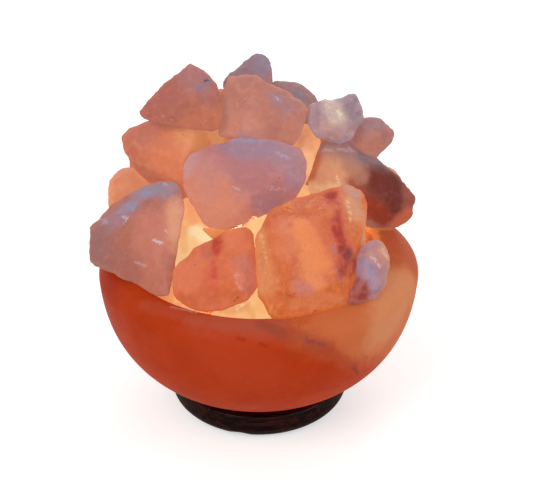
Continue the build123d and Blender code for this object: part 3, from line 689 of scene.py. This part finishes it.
bowl_salt = salt(
    "turned_salt", (178, 57, 15), (171, 50, 11), marks_on("salt_bowl", bowl_marks),
    split=(spot("salt_bowl", *BORDER_SPOT), BORDER_ACROSS, BORDER_WIDTH, BORDER_TINT, BORDER_FLECKS),
    seed=1.0, glow=0.60, rough=0.45, bump=0.05, flecks=0.06, specks=0.5, ragged=1.6, gloss=0.06, frost=0.0,
    grainy=0.03)
bowl.data.materials.append(bowl_salt)
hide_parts("salt_bowl")
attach(bowl, body_of["salt_bowl"])
print("bowl's marks:", len(bowl_marks))

# %% [markdown]
# ## Rough lumps
# Broken salt starts as flat-faced pieces, and that is what the solids are.
# Handling and damp air then round the edges. First each lump gets an even
# skin of small faces, because the solid's own are too large and uneven to be
# worn. The copy is welded before, as a solid's faces are loose triangles.

# %% An even skin
VOXEL = 0.0011
WELD, FLAT = 1e-5, radians(1.0)
noise.seed_set(7)


def even_skin(node):
    """A mesh of even small faces round a solid."""
    bm = bmesh.new()
    bm.from_mesh(nodes[node].data)
    bmesh.ops.remove_doubles(bm, verts=bm.verts, dist=WELD)
    bmesh.ops.dissolve_limit(bm, angle_limit=FLAT, verts=bm.verts, edges=bm.edges)
    m = bpy.data.meshes.new(node)
    bm.to_mesh(m)
    bm.free()
    rough = bpy.data.objects.new("rough", m)
    bpy.context.scene.collection.objects.link(rough)
    remesh = rough.modifiers.new("skin", "REMESH")
    remesh.mode, remesh.voxel_size, remesh.adaptivity = "VOXEL", VOXEL, 0.0
    even = bpy.data.meshes.new_from_object(rough.evaluated_get(bpy.context.evaluated_depsgraph_get()))
    bpy.data.objects.remove(rough)
    return even


print("faces of about", VOXEL * 1000, "mm")

# %% [markdown]
# ## Where a lump is rubbed
# Ridges are rubbed pale and hollows stay clear. How far each point stands out
# from its neighbours is smoothed a few times and stored as an attribute, for
# the material to read.

# %% Marking the wear
WEAR_ROUNDS, FLAT_VALUE, WEAR_GAIN = 5, 0.5, 6.0


def mark_wear(bm):
    """Store how far each point stands out, 1 on sharp ridges, 0.5 on flats and 0 in hollows."""
    bm.normal_update()
    bm.verts.index_update()
    near = [[e.other_vert(v).index for e in v.link_edges] for v in bm.verts]
    here = [v.co.copy() for v in bm.verts]
    out = []
    for v, ring in zip(bm.verts, near):
        mean = sum((here[k] for k in ring), Vector()) / len(ring)
        out.append((v.co - mean).dot(v.normal) / VOXEL)
    for _ in range(WEAR_ROUNDS):
        out = [0.5 * a + 0.5 * sum(out[k] for k in ring) / len(ring) for a, ring in zip(out, near)]
    layer = bm.verts.layers.float.new("worn")
    for v, value in zip(bm.verts, out):
        v[layer] = min(1.0, max(0.0, FLAT_VALUE + WEAR_GAIN * value))


print("wear is smoothed", WEAR_ROUNDS, "times")

# %% [markdown]
# ## Wearing a lump
# Smoothing rounds the edges, and four sizes of noise then move the skin in
# and out: slow swells, chipped scoops, small pits and fine grain. Cells of a
# Voronoi noise give the scoops their round bottoms and sharp borders. Hollows
# that are seen in the picture are pressed in one by one.

# %% Shaping a lump
SWELL_WAVES, SWELL_SINK = 42.0, 0.2
SCOOP_CELLS, SCOOP_SIZE, WARP, WARP_WAVES = 62.0, 0.62, 0.5, 90.0
PIT_CELLS, PIT_SIZE, GRAIN_WAVES = 210.0, 0.55, 480.0


def pressed(p, normal, middle, seed_shift, sizes, hollows):
    """How far a point of the skin moves. sizes are swell, chips, pits, grain and grow."""
    swell, chips, pits, grain, grow = sizes
    q = p + seed_shift
    warped = q * SCOOP_CELLS + WARP * noise.noise_vector(q * WARP_WAVES)
    scoop = max(0.0, 1.0 - (noise.voronoi(warped)[0][0] / SCOOP_SIZE) ** 2)
    small = max(0.0, 1.0 - (noise.voronoi(q * PIT_CELLS)[0][0] / PIT_SIZE) ** 2)
    waves = swell * (noise.noise(q * SWELL_WAVES) - SWELL_SINK)
    move = normal * (waves - chips * scoop - pits * small + grain * noise.noise(q * GRAIN_WAVES) + grow)
    for point, radius, depth in hollows:
        fall = 1.0 - (p - point).length_squared / radius ** 2
        if fall > 0.0:
            move += (middle - p).normalized() * depth * fall * fall
    return move


def worn_lump(node, seed, wear=5, swell=0.0007, chips=0.0008, pits=0.00035, grain=0.00024, grow=0.0012,
              hollows=()):
    """A copy of a flat-faced lump, worn and chipped. hollows are (point, radius, depth)."""
    even = even_skin(node)
    bm = bmesh.new()
    bm.from_mesh(even)
    for _ in range(wear):
        bmesh.ops.smooth_vert(bm, verts=bm.verts, factor=0.5,
                              use_axis_x=True, use_axis_y=True, use_axis_z=True)
    bm.normal_update()
    seed_shift = Vector((seed * 3.7, seed * 1.9, seed * 5.3))
    middle = sum((v.co for v in bm.verts), Vector()) / len(bm.verts)
    sizes = (swell, chips, pits, grain, grow)
    for v in bm.verts:
        v.co += pressed(v.co, v.normal, middle, seed_shift, sizes, hollows)
    mark_wear(bm)
    for f in bm.faces:
        f.smooth = True
    bm.to_mesh(even)
    bm.free()
    even.name = node
    obj = bpy.data.objects.new("salt_" + node[6:], even)
    bpy.context.scene.collection.objects.link(obj)
    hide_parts(node)
    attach(obj, body_of[node])
    return obj


print("scoops are about", round(1000 * SCOOP_SIZE / SCOOP_CELLS), "mm in radius")

# %% [markdown]
# ## Dressing a lump
# Each lump gets the tints it has in the picture: body and shade for its
# cloudy base, then stains and veins, and painted light such as glints and
# glows, at spots picked on its own surface. A mark is a row of two spots, a
# radius in mm, a tint and its share. A hollow is a spot, a radius and a depth
# in mm, and swells the lump if it is negative.

# %% Dressing
dressed = []


def dress(name, seed, slot, marks=(), hollows=(), shape=(), **look):
    """Replace a lump by a worn one with its own tints."""
    node = "chunk_" + name
    hollow_points = [(spot(node, *place), radius / 1000.0, depth / 1000.0)
                     for place, radius, depth in hollows]
    obj = worn_lump(node, seed, hollows=hollow_points, **dict(shape))
    obj.data.materials.append(salt(name + "_salt", seed=seed, marks=marks_on(node, marks), **look))
    dressed.append(obj)
    print(obj.name + ":", len(obj.data.polygons), "faces,", len(marks), "marks")


print("ready to dress", lump_count, "lumps")

# %% [markdown]
# ## The lump in the middle
# The big lump in the middle is lilac above and salmon below, where more of
# the light from inside comes through. The sky gives its upper edge a cool
# blue band and a few white glints.

# %% The middle lump
centre_marks = (
    ((212, 205), (226, 222), 22, (216, 136, 106), 0.9), ((200, 170), (205, 180), 15, (204, 132, 120), 0.8),
    ((190, 190), (200, 212), 10, (214, 132, 102), 0.7), ((238, 146), (272, 150), 13, (160, 128, 144), 0.9),
    ((238, 139), (254, 139), 4, (150, 142, 172), 0.75), ((285, 152), (294, 176), 12, (170, 130, 140), 0.8),
    ((262, 204), (276, 208), 9, (168, 118, 122), 0.8), ((276, 154), (286, 158), 1.8, (184, 164, 182), 0.7),
    ((272, 166), (277, 168), 0.9, (200, 176, 188), 0.7),
    ((290, 174), (297, 180), 1.3, (188, 160, 172), 0.6),
    ((234, 187), (239, 190), 0.8, (208, 174, 180), 0.7),
    ((192, 162), (196, 165), 1.0, (196, 168, 176), 0.6),
    ((268, 187), (284, 190), 1.2, (190, 160, 168), 0.6),
    ((246, 141), (262, 142), 2.2, (150, 154, 186), 0.7), ((186, 168), (190, 160), 7, (196, 150, 148), 0.6))
centre_hollows = (
    ((224, 144), 5, 1.2), ((236, 138), 4, 0.8), ((256, 141), 4, 0.9), ((268, 146), 5, 1.0),
    ((253, 220), 8, 4.0))
dress("centre", 1, "lilac_salt", centre_marks, centre_hollows, shape={"chips": 0.0006},
      body=(189, 118, 110), shade=(179, 113, 113), haze=0.22)

# %% [markdown]
# ## The two striped lumps in front
# Iron in the brine left red veins in these two. The right-hand one is fibrous
# and clear, so it has strands, a vein of overlapping streaks that runs down
# its face, and a paler, see-through end. The left-hand one is duller, with
# one short stripe.

# %% The fibrous lump with the vein
# the small pale marks on the clear end, on the left third and beside the top are painted glints
front_right_marks = (
    ((259, 240), (264, 285), 9, (222, 140, 86), 0.7), ((286, 226), (288, 250), 8, (222, 124, 84), 0.7),
    ((291, 226), (296, 284), 3.0, (202, 104, 74), 0.7), ((306, 232), (314, 282), 9, (230, 134, 82), 0.9),
    ((298, 287), (306, 290), 5, (200, 118, 104), 0.8), ((288, 291), (292, 296), 2, (170, 70, 50), 0.6),
    ((296, 303), (338, 298), 5, (214, 118, 74), 0.8), ((300, 206), (316, 202), 6, (206, 108, 66), 0.6),
    ((350, 206), (362, 246), 10, (214, 144, 104), 0.95), ((348, 190), (354, 194), 6, (196, 142, 122), 0.9),
    ((346, 202), (349, 220), 1.8, (240, 188, 134), 0.8),
    ((361, 224), (365, 240), 1.8, (238, 186, 144), 0.8), ((352, 228), (358, 246), 3.0, (198, 122, 94), 0.6),
    ((312, 226), (330, 270), 8, (210, 106, 74), 0.5), ((333, 196), (336, 228), 8, (208, 94, 64), 0.75),
    ((336, 228), (347, 258), 8, (204, 88, 58), 0.75), ((347, 258), (356, 296), 9, (188, 78, 56), 0.85),
    ((331, 196), (336, 230), 5.0, (166, 34, 20), 0.95), ((336, 230), (344, 254), 3.8, (170, 38, 22), 0.95),
    ((344, 254), (354, 280), 5.8, (146, 34, 20), 0.95), ((352, 280), (355, 300), 6, (140, 36, 26), 0.95),
    ((291, 226), (293, 262), 2.8, (200, 98, 62), 0.8), ((300, 226), (322, 262), 7, (238, 136, 72), 0.7),
    ((348, 254), (352, 264), 2.8, (100, 52, 36), 0.85), ((333, 246), (336, 260), 1.4, (160, 112, 130), 0.5),
    ((337, 270), (341, 280), 1.4, (160, 108, 124), 0.5), ((345, 270), (349, 298), 6.5, (158, 44, 26), 0.9),
    ((262, 236), (268, 262), 1.6, (238, 178, 120), 0.6),
    ((270, 230), (276, 250), 1.3, (242, 184, 128), 0.6),
    ((256, 250), (262, 286), 1.4, (234, 170, 112), 0.6),
    ((318, 203), (320, 209), 1.1, (222, 192, 204), 0.9),
    ((333, 248), (334, 252), 1.0, (150, 130, 176), 0.8))
front_right_hollows = (
    ((262, 262), 6, 1.2), ((290, 302), 6, 1.2), ((322, 304), 6, 1.0), ((330, 196), 6, 2.4),
    ((360, 226), 10, -1.5), ((351, 280), 16, -4.0))
dress("front_right", 2, "orange_salt", front_right_marks, front_right_hollows,
      shape={"chips": 0.0008, "wear": 3, "grow": 0.0018}, body=(212, 105, 44), shade=(203, 93, 36),
      fibres=0.8, haze=0.06, bump=1.0, flecks=0.35, gloss=0.35, rough=0.42)

# %% The lump with the short stripe
front_left_marks = (
    ((219, 238), (216, 252), 4.2, (184, 56, 38), 0.9), ((216, 254), (214, 276), 2.7, (192, 62, 40), 0.9),
    ((214, 262), (212, 294), 4.5, (206, 92, 66), 0.6), ((235, 301), (238, 298), 0.9, (74, 22, 18), 0.95),
    ((246, 262), (250, 270), 2.0, (214, 164, 160), 0.7),
    ((236, 276), (240, 288), 1.8, (212, 160, 154), 0.7), ((244, 262), (250, 282), 9, (206, 122, 102), 0.85),
    ((195, 262), (186, 276), 11, (222, 120, 84), 0.7), ((232, 236), (240, 246), 8, (226, 124, 84), 0.8),
    ((206, 250), (208, 256), 4, (190, 100, 84), 0.6), ((190, 300), (225, 304), 6, (210, 108, 72), 0.7))
front_left_hollows = (
    ((190, 255), 6, 1.0), ((214, 305), 7, 1.4), ((238, 299), 6, 1.2), ((252, 290), 5, 1.0))
dress("front_left", 3, "red_orange_salt", front_left_marks, front_left_hollows, body=(214, 110, 68),
      shade=(207, 102, 64), haze=0.06, ragged=1.2)

# %% [markdown]
# ## The dusky lump and the blue bump
# The lump that hangs over the rim at the left lies away from the bulb. Its
# colour is dusky, with blue bands on top, a few painted glints and a painted
# warm glow on the edge towards the gap. The blue bump at the right carries
# the end of the big lump's red vein.

# %% The dusky lump
# the warm marks down the right edge are a painted glow from the gap, the smallest pale ones painted glints
left_marks = (
    ((140, 192), (166, 189), 9, (156, 134, 148), 0.9), ((108, 224), (132, 206), 10, (164, 122, 130), 0.85),
    ((122, 209), (133, 205), 5, (152, 136, 156), 0.8), ((146, 196), (156, 190), 5, (148, 136, 154), 0.7),
    ((98, 238), (100, 262), 13, (152, 104, 99), 0.9), ((176, 208), (172, 240), 9, (216, 146, 114), 0.9),
    ((152, 224), (150, 252), 15, (200, 120, 98), 0.85), ((140, 270), (164, 282), 12, (190, 112, 92), 0.8),
    ((116, 262), (130, 270), 12, (168, 102, 90), 0.8), ((154, 240), (161, 243), 1.2, (216, 184, 188), 0.8),
    ((123, 217), (128, 219), 1.1, (192, 172, 190), 0.8),
    ((165, 230), (168, 233), 0.7, (210, 180, 182), 0.8),
    ((142, 192), (150, 194), 1.8, (140, 146, 176), 0.9),
    ((128, 206), (134, 209), 1.6, (138, 144, 176), 0.9),
    ((164, 184), (168, 186), 1.0, (190, 168, 180), 0.7),
    ((174, 212), (176, 236), 5.5, (230, 164, 126), 0.6), ((98, 216), (106, 222), 2.0, (176, 150, 164), 0.7),
    ((136, 262), (146, 266), 0.9, (194, 158, 164), 0.6))
left_hollows = (
    ((112, 268), 8, 1.6), ((142, 281), 7, 1.4), ((118, 206), 7, 1.2), ((96, 222), 6, 1.0),
    ((178, 244), 6, 1.0))
dress("left", 4, "dusky_salt", left_marks, left_hollows, shape={"grow": 0.0006}, body=(180, 108, 86),
      shade=(170, 101, 82), haze=0.14, flecks=0.8)

# %% The blue bump
# the two smallest pale marks are painted glints
blue_marks = (
    ((364, 244), (386, 254), 8, (206, 144, 118), 0.95), ((372, 258), (386, 262), 5, (190, 130, 118), 0.8),
    ((364, 268), (372, 286), 7, (160, 126, 146), 0.9), ((366, 296), (380, 290), 4, (160, 114, 120), 0.8),
    ((352, 262), (355, 300), 8.0, (152, 46, 30), 1.0), ((359, 284), (362, 300), 5.0, (150, 56, 44), 0.9),
    ((364, 262), (370, 268), 2.2, (136, 132, 170), 0.9),
    ((370, 272), (376, 286), 2.4, (150, 138, 168), 0.8),
    ((372, 258), (378, 266), 1.4, (216, 184, 190), 0.9),
    ((382, 250), (386, 258), 1.6, (222, 176, 160), 0.7))
blue_hollows = (((386, 268), 5, 1.2), ((362, 250), 4, 0.8))
dress("blue", 45, "lilac_salt", blue_marks, blue_hollows,
      shape={"chips": 0.0010, "wear": 3, "grow": 0.0014}, body=(180, 128, 122), shade=(168, 120, 126),
      haze=0.06, flecks=0.7, bump=0.9, gloss=0.25)

# %% [markdown]
# ## The orange and the banded lump
# One tint is enough for the orange lump, paler where the glow reaches it. The
# banded one goes from tan over grey-lilac to a dark red-brown, so its marks
# are large and close together.

# %% The orange lump
upper_left_marks = (
    ((188, 142), (214, 134), 15, (228, 150, 100), 1.0), ((170, 158), (176, 178), 16, (216, 122, 84), 0.85),
    ((150, 126), (132, 136), 12, (192, 112, 92), 0.8), ((130, 148), (134, 162), 9, (196, 110, 84), 0.6))
upper_left_hollows = (((126, 130), 6, 1.0), ((172, 120), 6, 1.0))
dress("upper_left", 5, "orange_salt", upper_left_marks, upper_left_hollows, body=(206, 118, 88),
      shade=(200, 112, 84), haze=0.10)

# %% The banded lump
# the three small cream marks on the tan part are painted glints
right_marks = (
    ((342, 142), (356, 154), 13, (160, 119, 117), 0.9), ((328, 156), (332, 162), 9, (168, 122, 112), 0.8),
    ((324, 174), (346, 186), 14, (216, 150, 112), 1.0), ((346, 190), (352, 192), 7, (212, 156, 132), 0.9),
    ((366, 158), (388, 174), 8, (138, 112, 116), 0.95), ((380, 174), (398, 186), 7, (116, 84, 84), 0.9),
    ((360, 184), (368, 206), 10, (156, 70, 48), 0.95), ((378, 184), (390, 204), 14, (110, 40, 28), 1.0),
    ((370, 206), (384, 216), 9, (146, 56, 38), 1.0), ((392, 184), (396, 202), 9, (106, 38, 26), 1.0),
    ((409, 196), (405, 216), 7, (146, 72, 60), 0.95), ((408, 214), (396, 224), 6, (190, 92, 60), 0.9),
    ((317, 158), (312, 176), 4, (190, 96, 66), 0.8), ((312, 190), (334, 192), 6, (238, 186, 140), 0.85),
    ((337, 177), (339, 182), 1.1, (244, 200, 146), 0.7),
    ((318, 187), (322, 190), 0.9, (250, 214, 170), 0.8),
    ((327, 181), (330, 183), 0.8, (248, 208, 160), 0.8),
    ((326, 150), (350, 150), 2.0, (196, 160, 154), 0.6), ((352, 166), (362, 176), 6, (178, 122, 104), 0.7))
right_hollows = (((366, 150), 6, 1.2), ((408, 184), 6, 1.4), ((412, 208), 6, 1.4), ((330, 142), 5, 0.9))
dress("right", 6, "banded_salt", right_marks, right_hollows, body=(174, 116, 96), shade=(164, 106, 90),
      flecks=0.2, bump=0.6, frost=0.04, gloss=0.2)

# %% [markdown]
# ## The lumps on top
# On top lie a salmon lump, a pale lilac crystal and a brown-pink one. The
# crystal has broken faces and sharper edges, so it is worn less and chipped
# more than the others.

# %% The salmon lump
# the palest small mark, by the bluish patch, is a painted glint
upper_centre_marks = (
    ((228, 130), (246, 132), 14, (203, 132, 113), 0.85), ((286, 106), (276, 99), 7, (168, 122, 122), 0.8),
    ((245, 138), (268, 142), 6, (166, 126, 136), 0.7), ((290, 140), (294, 128), 8, (198, 127, 110), 0.7),
    ((226, 84), (224, 110), 6, (190, 134, 120), 0.7), ((274, 101), (281, 97), 1.8, (158, 140, 160), 0.6),
    ((276, 98), (280, 102), 1.0, (200, 172, 182), 0.8))
upper_centre_hollows = (((268, 86), 6, 1.2), ((222, 94), 5, 1.0), ((296, 100), 5, 1.0))
dress("upper_centre", 7, "pink_salt", upper_centre_marks, upper_centre_hollows, body=(187, 121, 104),
      shade=(181, 118, 106), haze=0.10)

# %% The pale lilac crystal
# the two small pale marks on the cream facet are painted glints
lilac_marks = (
    ((333, 106), (337, 124), 8, (198, 172, 156), 0.95), ((328, 108), (332, 122), 2.2, (222, 204, 186), 0.8),
    ((336, 112), (342, 118), 1.8, (228, 212, 196), 0.8), ((349, 98), (356, 120), 7, (144, 116, 128), 0.9),
    ((322, 126), (332, 132), 7, (186, 142, 136), 0.85), ((310, 108), (313, 120), 5, (166, 128, 138), 0.8),
    ((340, 130), (350, 128), 5, (172, 132, 132), 0.8), ((338, 98), (350, 94), 4, (160, 140, 158), 0.8),
    ((318, 102), (326, 100), 4, (176, 144, 150), 0.7))
lilac_hollows = (
    ((358, 100), 3, 1.8), ((360, 114), 3, 1.8), ((342, 92), 4, 1.4), ((322, 96), 4, 1.0),
    ((352, 132), 4, 1.2), ((330, 141), 8, 3.4))
dress("lilac", 8, "pale_lilac_salt", lilac_marks, lilac_hollows,
      shape={"chips": 0.0018, "wear": 2, "pits": 0.0005, "grow": 0.0016}, body=(168, 134, 139),
      shade=(154, 124, 138), haze=0.06, rough=0.42, gloss=0.4, flecks=0.9, bump=1.0)

# %% The brown-pink lump
top_left_marks = (
    ((186, 68), (200, 84), 11, (170, 114, 112), 0.85), ((160, 98), (150, 108), 12, (176, 98, 84), 0.8),
    ((188, 123), (216, 119), 8, (198, 116, 88), 0.85), ((198, 89), (210, 80), 1.6, (134, 118, 140), 0.9),
    ((205, 81), (207, 80), 1.0, (84, 62, 70), 0.9), ((156, 88), (170, 74), 4, (166, 112, 112), 0.7))
top_left_hollows = (((160, 84), 6, 1.2), ((210, 76), 6, 1.2), ((148, 118), 5, 1.0), ((187, 61), 6, 0.5))
dress("top_left", 9, "brown_pink_salt", top_left_marks, top_left_hollows, shape={"grow": 0.0009},
      body=(178, 105, 86), shade=(171, 99, 83), haze=0.14)

# %% [markdown]
# ## Small lumps behind
# Behind the top, small lumps show only an edge. They lie furthest from the
# bulb and are the greyest. The peak's hollows are negative, which swells it
# into its rounded tip.

# %% The small pink lump
small_right_marks = (
    ((374, 146), (364, 150), 8, (184, 117, 99), 0.9), ((366, 118), (380, 122), 6, (158, 122, 126), 0.8),
    ((386, 136), (390, 128), 4, (160, 106, 104), 0.7))
small_right_hollows = (((384, 124), 4, 1.2),)
dress("small_right", 10, "pink_salt", small_right_marks, small_right_hollows, body=(170, 115, 108),
      shade=(176, 115, 103), haze=0.15)

# %% The grey-lilac peak
peak_marks = (
    ((262, 57), (270, 62), 6, (144, 130, 150), 0.9), ((240, 72), (236, 78), 6, (146, 118, 124), 0.8),
    ((272, 78), (262, 82), 6, (172, 112, 104), 0.8), ((256, 66), (262, 72), 6, (148, 124, 142), 0.8))
peak_hollows = (((265, 67), 9, -2.2), ((264, 80), 9, -2.6), ((232, 78), 7, -1.2))
dress("peak", 11, "grey_lilac_salt", peak_marks, peak_hollows, shape={"grow": 0.0006}, body=(148, 114, 118),
      shade=(152, 112, 112), haze=0.20)

# %% The rounded lump behind the top
back_top_marks = (
    ((300, 80), (314, 94), 5, (134, 122, 130), 0.85), ((296, 108), (306, 112), 6, (192, 126, 108), 0.8))
dress("back_top", 12, "grey_lilac_salt", back_top_marks, body=(155, 118, 118), shade=(162, 120, 116),
      haze=0.15)

# %% [markdown]
# ## Lumps in the gaps
# Between the big lumps, narrow ones show that are lit from close by. More of
# their colour is glow, and little of it is reflection.

# %% The narrow lump right of the middle
inner_right_marks = (
    ((305, 156), (308, 166), 6, (248, 186, 138), 0.9), ((298, 136), (304, 144), 6, (216, 142, 108), 0.8))
dress("inner_right", 13, "lit_salt", inner_right_marks, body=(246, 168, 116), shade=(242, 158, 106),
      glow=0.65, heat=0.2)

# %% The lump between the upper ones
between_marks = (
    ((212, 132), (218, 140), 6, (240, 172, 116), 0.9),)
dress("between", 46, "lit_salt", between_marks, body=(232, 154, 102), shade=(226, 144, 94), glow=0.55)

# %% Thin pieces at the edges
small_left_marks = (
    ((112, 170), (122, 168), 6, (216, 146, 126), 0.8),)
dress("small_left", 14, "orange_salt", small_left_marks, body=(226, 146, 108), shade=(222, 138, 100),
      haze=0.06)
dress("sliver_right", 15, "orange_salt", shape={"grow": 0.0}, body=(226, 156, 116), shade=(218, 144, 104))
dress("wedge", 16, "lit_salt", shape={"wear": 2, "grow": 0.0004}, body=(220, 126, 70), shade=(232, 146, 88),
      glow=0.6)

# %% [markdown]
# ## The brightest lumps
# Three lumps beside the bulb shine through the gaps in front. They are nearly
# all painted glow, turned towards a pale yellow by painted light of the bulb,
# and their chipped faces break it up. Five more lie deeper, where only their
# light is seen from most sides.

# %% The brightest lumps
inner_left_marks = (
    ((186, 200), (202, 222), 9, (255, 166, 112), 0.9), ((196, 232), (206, 236), 6, (255, 232, 182), 0.9),
    ((186, 246), (180, 262), 8, (252, 202, 142), 0.9), ((183, 228), (184, 250), 3, (248, 176, 118), 0.7))
inner_centre_marks = (
    ((246, 216), (258, 212), 5, (252, 168, 108), 0.8), ((226, 228), (240, 224), 5, (255, 232, 180), 0.9),
    ((252, 236), (253, 250), 3, (254, 216, 150), 0.9))
inner_front_marks = (
    ((258, 300), (262, 310), 4, (254, 188, 120), 0.9), ((222, 310), (244, 306), 4, (236, 172, 112), 0.8),
    ((238, 306), (248, 300), 2, (255, 232, 190), 0.9), ((246, 300), (252, 314), 3, (240, 168, 104), 0.7))
lit_marks = {"inner_left": inner_left_marks, "inner_centre": inner_centre_marks,
             "inner_front": inner_front_marks}
deep_lumps = ("heart", "side_left", "side_right", "side_back", "side_front")
for number, (name, marks) in enumerate(lit_marks.items()):
    dress(name, 20 + number, "glow_salt", marks, shape={"chips": 0.0020, "grow": 0.0004},
          body=(255, 182, 118), shade=(255, 202, 138), glow=0.80, heat=0.10, reach=0.070,
          hot=(255, 236, 190), flecks=0.2, specks=0.2)
for number, name in enumerate(deep_lumps):
    dress(name, 30 + number, "glow_salt", shape={"chips": 0.0018, "grow": 0.0004},
          body=(240, 150, 92), shade=(250, 190, 128), glow=0.70, heat=0.2, reach=0.075,
          hot=(255, 228, 172), flecks=0.2, specks=0.2)
print("lit from close by:", len(lit_marks) + len(deep_lumps), "lumps")

# %% [markdown]
# ## The far side
# The lumps on the far side never show in the picture. They repeat the tints
# of the front, one each, with the cool light of the sky on top. They have no
# marks, because there is no spot of the picture to place one by.

# %% Lumps on the far side
# one is pressed in where it would stand out beside the lilac crystal
HIDDEN_EDGE = ((336, 99), 8, 3.0)
far_side = (("back_high", "lit_salt", (216, 134, 96), (204, 120, 86), ()),
            ("under_lilac", "brown_pink_salt", (206, 128, 98), (190, 108, 84), (HIDDEN_EDGE,)),
            ("back_left", "orange_salt", (206, 116, 84), (192, 102, 78), ()),
            ("back", "pink_salt", (194, 122, 106), (184, 110, 94), ()),
            ("back_right", "brown_pink_salt", (186, 106, 88), (176, 108, 96), ()))
for number, (name, slot, body, shade, hollows) in enumerate(far_side):
    dress(name, 40 + number, slot, hollows=hollows, body=body, shade=shade, haze=0.15)
print("lumps dressed:", len(dressed), "faces:", sum(len(obj.data.polygons) for obj in dressed))

# %% [markdown]
# ## The wooden foot
# The foot is a turned disc, stained nearly black and lacquered. A lathe
# turns it across the board, so the grain runs straight over the top and
# shows as long and short streaks round the side.

# %% Foot
GRAIN_DRAWN = (0.25, 2.6, 2.6)
WOOD_DARK, WOOD_LIGHT = (10, 3, 2), (62, 24, 13)
LACQUER = {"Specular IOR Level": 0.04, "Coat Weight": 0.10, "Coat Roughness": 0.15}
g, given, made = group("grain", {"Where": "Vector"}, {"Streaks": "Float", "Height": "Float"})
drawn = stretched(g, given["Where"], GRAIN_DRAWN)
plug(g, made["Streaks"], cloud(g, drawn, scale=170.0, detail=5.0, rough=0.66, warp=0.8))
plug(g, made["Height"], cloud(g, drawn, scale=420.0, detail=3.0, rough=0.6))

wood, t, shader = new_material("stained_wood")
grain = use(t, "grain", Where=place_on(t))
streaks = between(t, grain["Streaks"], low=0.42, high=0.70)
plug(t, shader["Base Color"], blend_in(t, streaks, tone(*WOOD_DARK), tone(*WOOD_LIGHT)))
plug(t, shader["Roughness"], maths(t, "ADD", maths(t, "MULTIPLY", grain["Streaks"], 0.2), 0.28))
set_all(t, shader, LACQUER)
plug(t, shader["Normal"], relief(t, grain["Height"], strength=0.25, distance=0.0006))


def finish_node(name, material):
    """Give a solid that stays as it is a better material."""
    mesh = nodes[name].data
    if len(mesh.materials):
        for k in range(len(mesh.materials)):
            mesh.materials[k] = material
    else:
        mesh.materials.append(material)


finish_node("wood_base", wood)
print("foot:", [round(c, 3) for c in nodes["wood_base"].dimensions])

# %% [markdown]
# ## Holder and bulb
# These show when the holder is drawn out from below: moulded black plastic,
# porcelain, brass, spring steel and clear glass round a glowing wire. They
# are made things with even surfaces, so their finishes vary only a little.

# %% Small finishes
FOG_DULLS = 0.14


def simple(name, colour, rough, metal=0.0, tint=None, scale=400.0, **extra):
    """A plain finish with fine cloudy variation in colour and gloss."""
    m, t, shader = new_material(name)
    fog = cloud(t, place_on(t), scale)
    second = tone(*(tint or colour))
    varied = blend_in(t, between(t, fog, low=0.3, high=0.7), tone(*colour), second)
    duller = maths(t, "ADD", maths(t, "MULTIPLY", fog, FOG_DULLS), rough - FOG_DULLS / 2)
    set_all(t, shader, {"Base Color": varied, "Roughness": duller, "Metallic": metal,
                        "Normal": relief(t, fog, strength=0.08, distance=0.0003)})
    set_all(t, shader, {key.replace("_", " "): value for key, value in extra.items()})
    return m


black = simple("moulded_black", (26, 25, 25), rough=0.38, tint=(34, 33, 32))
steel = simple("spring_steel", (176, 178, 180), rough=0.28, metal=1.0, tint=(158, 158, 160), scale=900.0)
brass = simple("brass_strip", (206, 172, 98), rough=0.26, metal=1.0, tint=(190, 152, 84), scale=700.0)
nickel = simple("nickel_plate", (206, 202, 192), rough=0.2, metal=1.0, tint=(188, 184, 174), scale=700.0)
porcelain = simple("porcelain", (232, 229, 220), rough=0.2, tint=(224, 220, 210), scale=500.0)
plastic = simple("grey_plug", (150, 152, 154), rough=0.5, tint=(140, 142, 144), scale=600.0)
black_glass = simple("black_glass", (22, 22, 26), rough=0.12)
solder = simple("solder", (168, 168, 170), rough=0.35, metal=1.0)
hot_wire = simple("hot_wire", (255, 190, 110), rough=0.5,
                  Emission_Color=(1, 0.55, 0.2, 1), Emission_Strength=6.0)


GLASS_IOR = 1.45


def clear(name, colour, rough):
    m, t, shader = new_material(name)
    set_all(t, shader, {"Base Color": colour, "Roughness": rough, "IOR": GLASS_IOR,
                        "Transmission Weight": 1.0})
    return m


bulb_glass = clear("bulb_glass", (1.0, 0.99, 0.96, 1), rough=0.02)
stem_glass = clear("stem_glass", (0.9, 0.96, 0.94, 1), rough=0.08)
finishes = {
    "holder_cap": black, "holder_shell": black, "holder_core": porcelain, "screw_sleeve": brass,
    "centre_contact": brass, "terminals": brass, "spring_clip_right": steel, "spring_clip_left": steel,
    "bulb_cap": nickel, "bulb_insulator": black_glass, "bulb_contact": solder, "bulb_glass": bulb_glass,
    "bulb_stem": stem_glass, "lead_wires": steel, "filament_support": steel, "filament": hot_wire,
    "base_screws": steel, "wall_plugs": plastic}
for name, material in finishes.items():
    finish_node(name, material)
print("finished", len(finishes), "small parts")

# %% [markdown]
# ## The bulb's light
# A small warm lamp above the bulb lights the faces of the lumps round it, so
# that the gaps of the heap are bright and not black.

# %% Light inside
WARM, INSIDE_W, INSIDE_R, BELOW_LAMP = (1.0, 0.62, 0.30), 0.45, 0.004, 0.001
glow = bpy.data.lights.new("inside", "POINT")
glow.energy, glow.color, glow.shadow_soft_size = INSIDE_W, WARM, INSIDE_R
inside = bpy.data.objects.new("inside", glow)
inside.location = LAMP - Vector((0, 0, BELOW_LAMP))
bpy.context.scene.collection.objects.link(inside)
print("inside lamp:", glow.energy, "W")
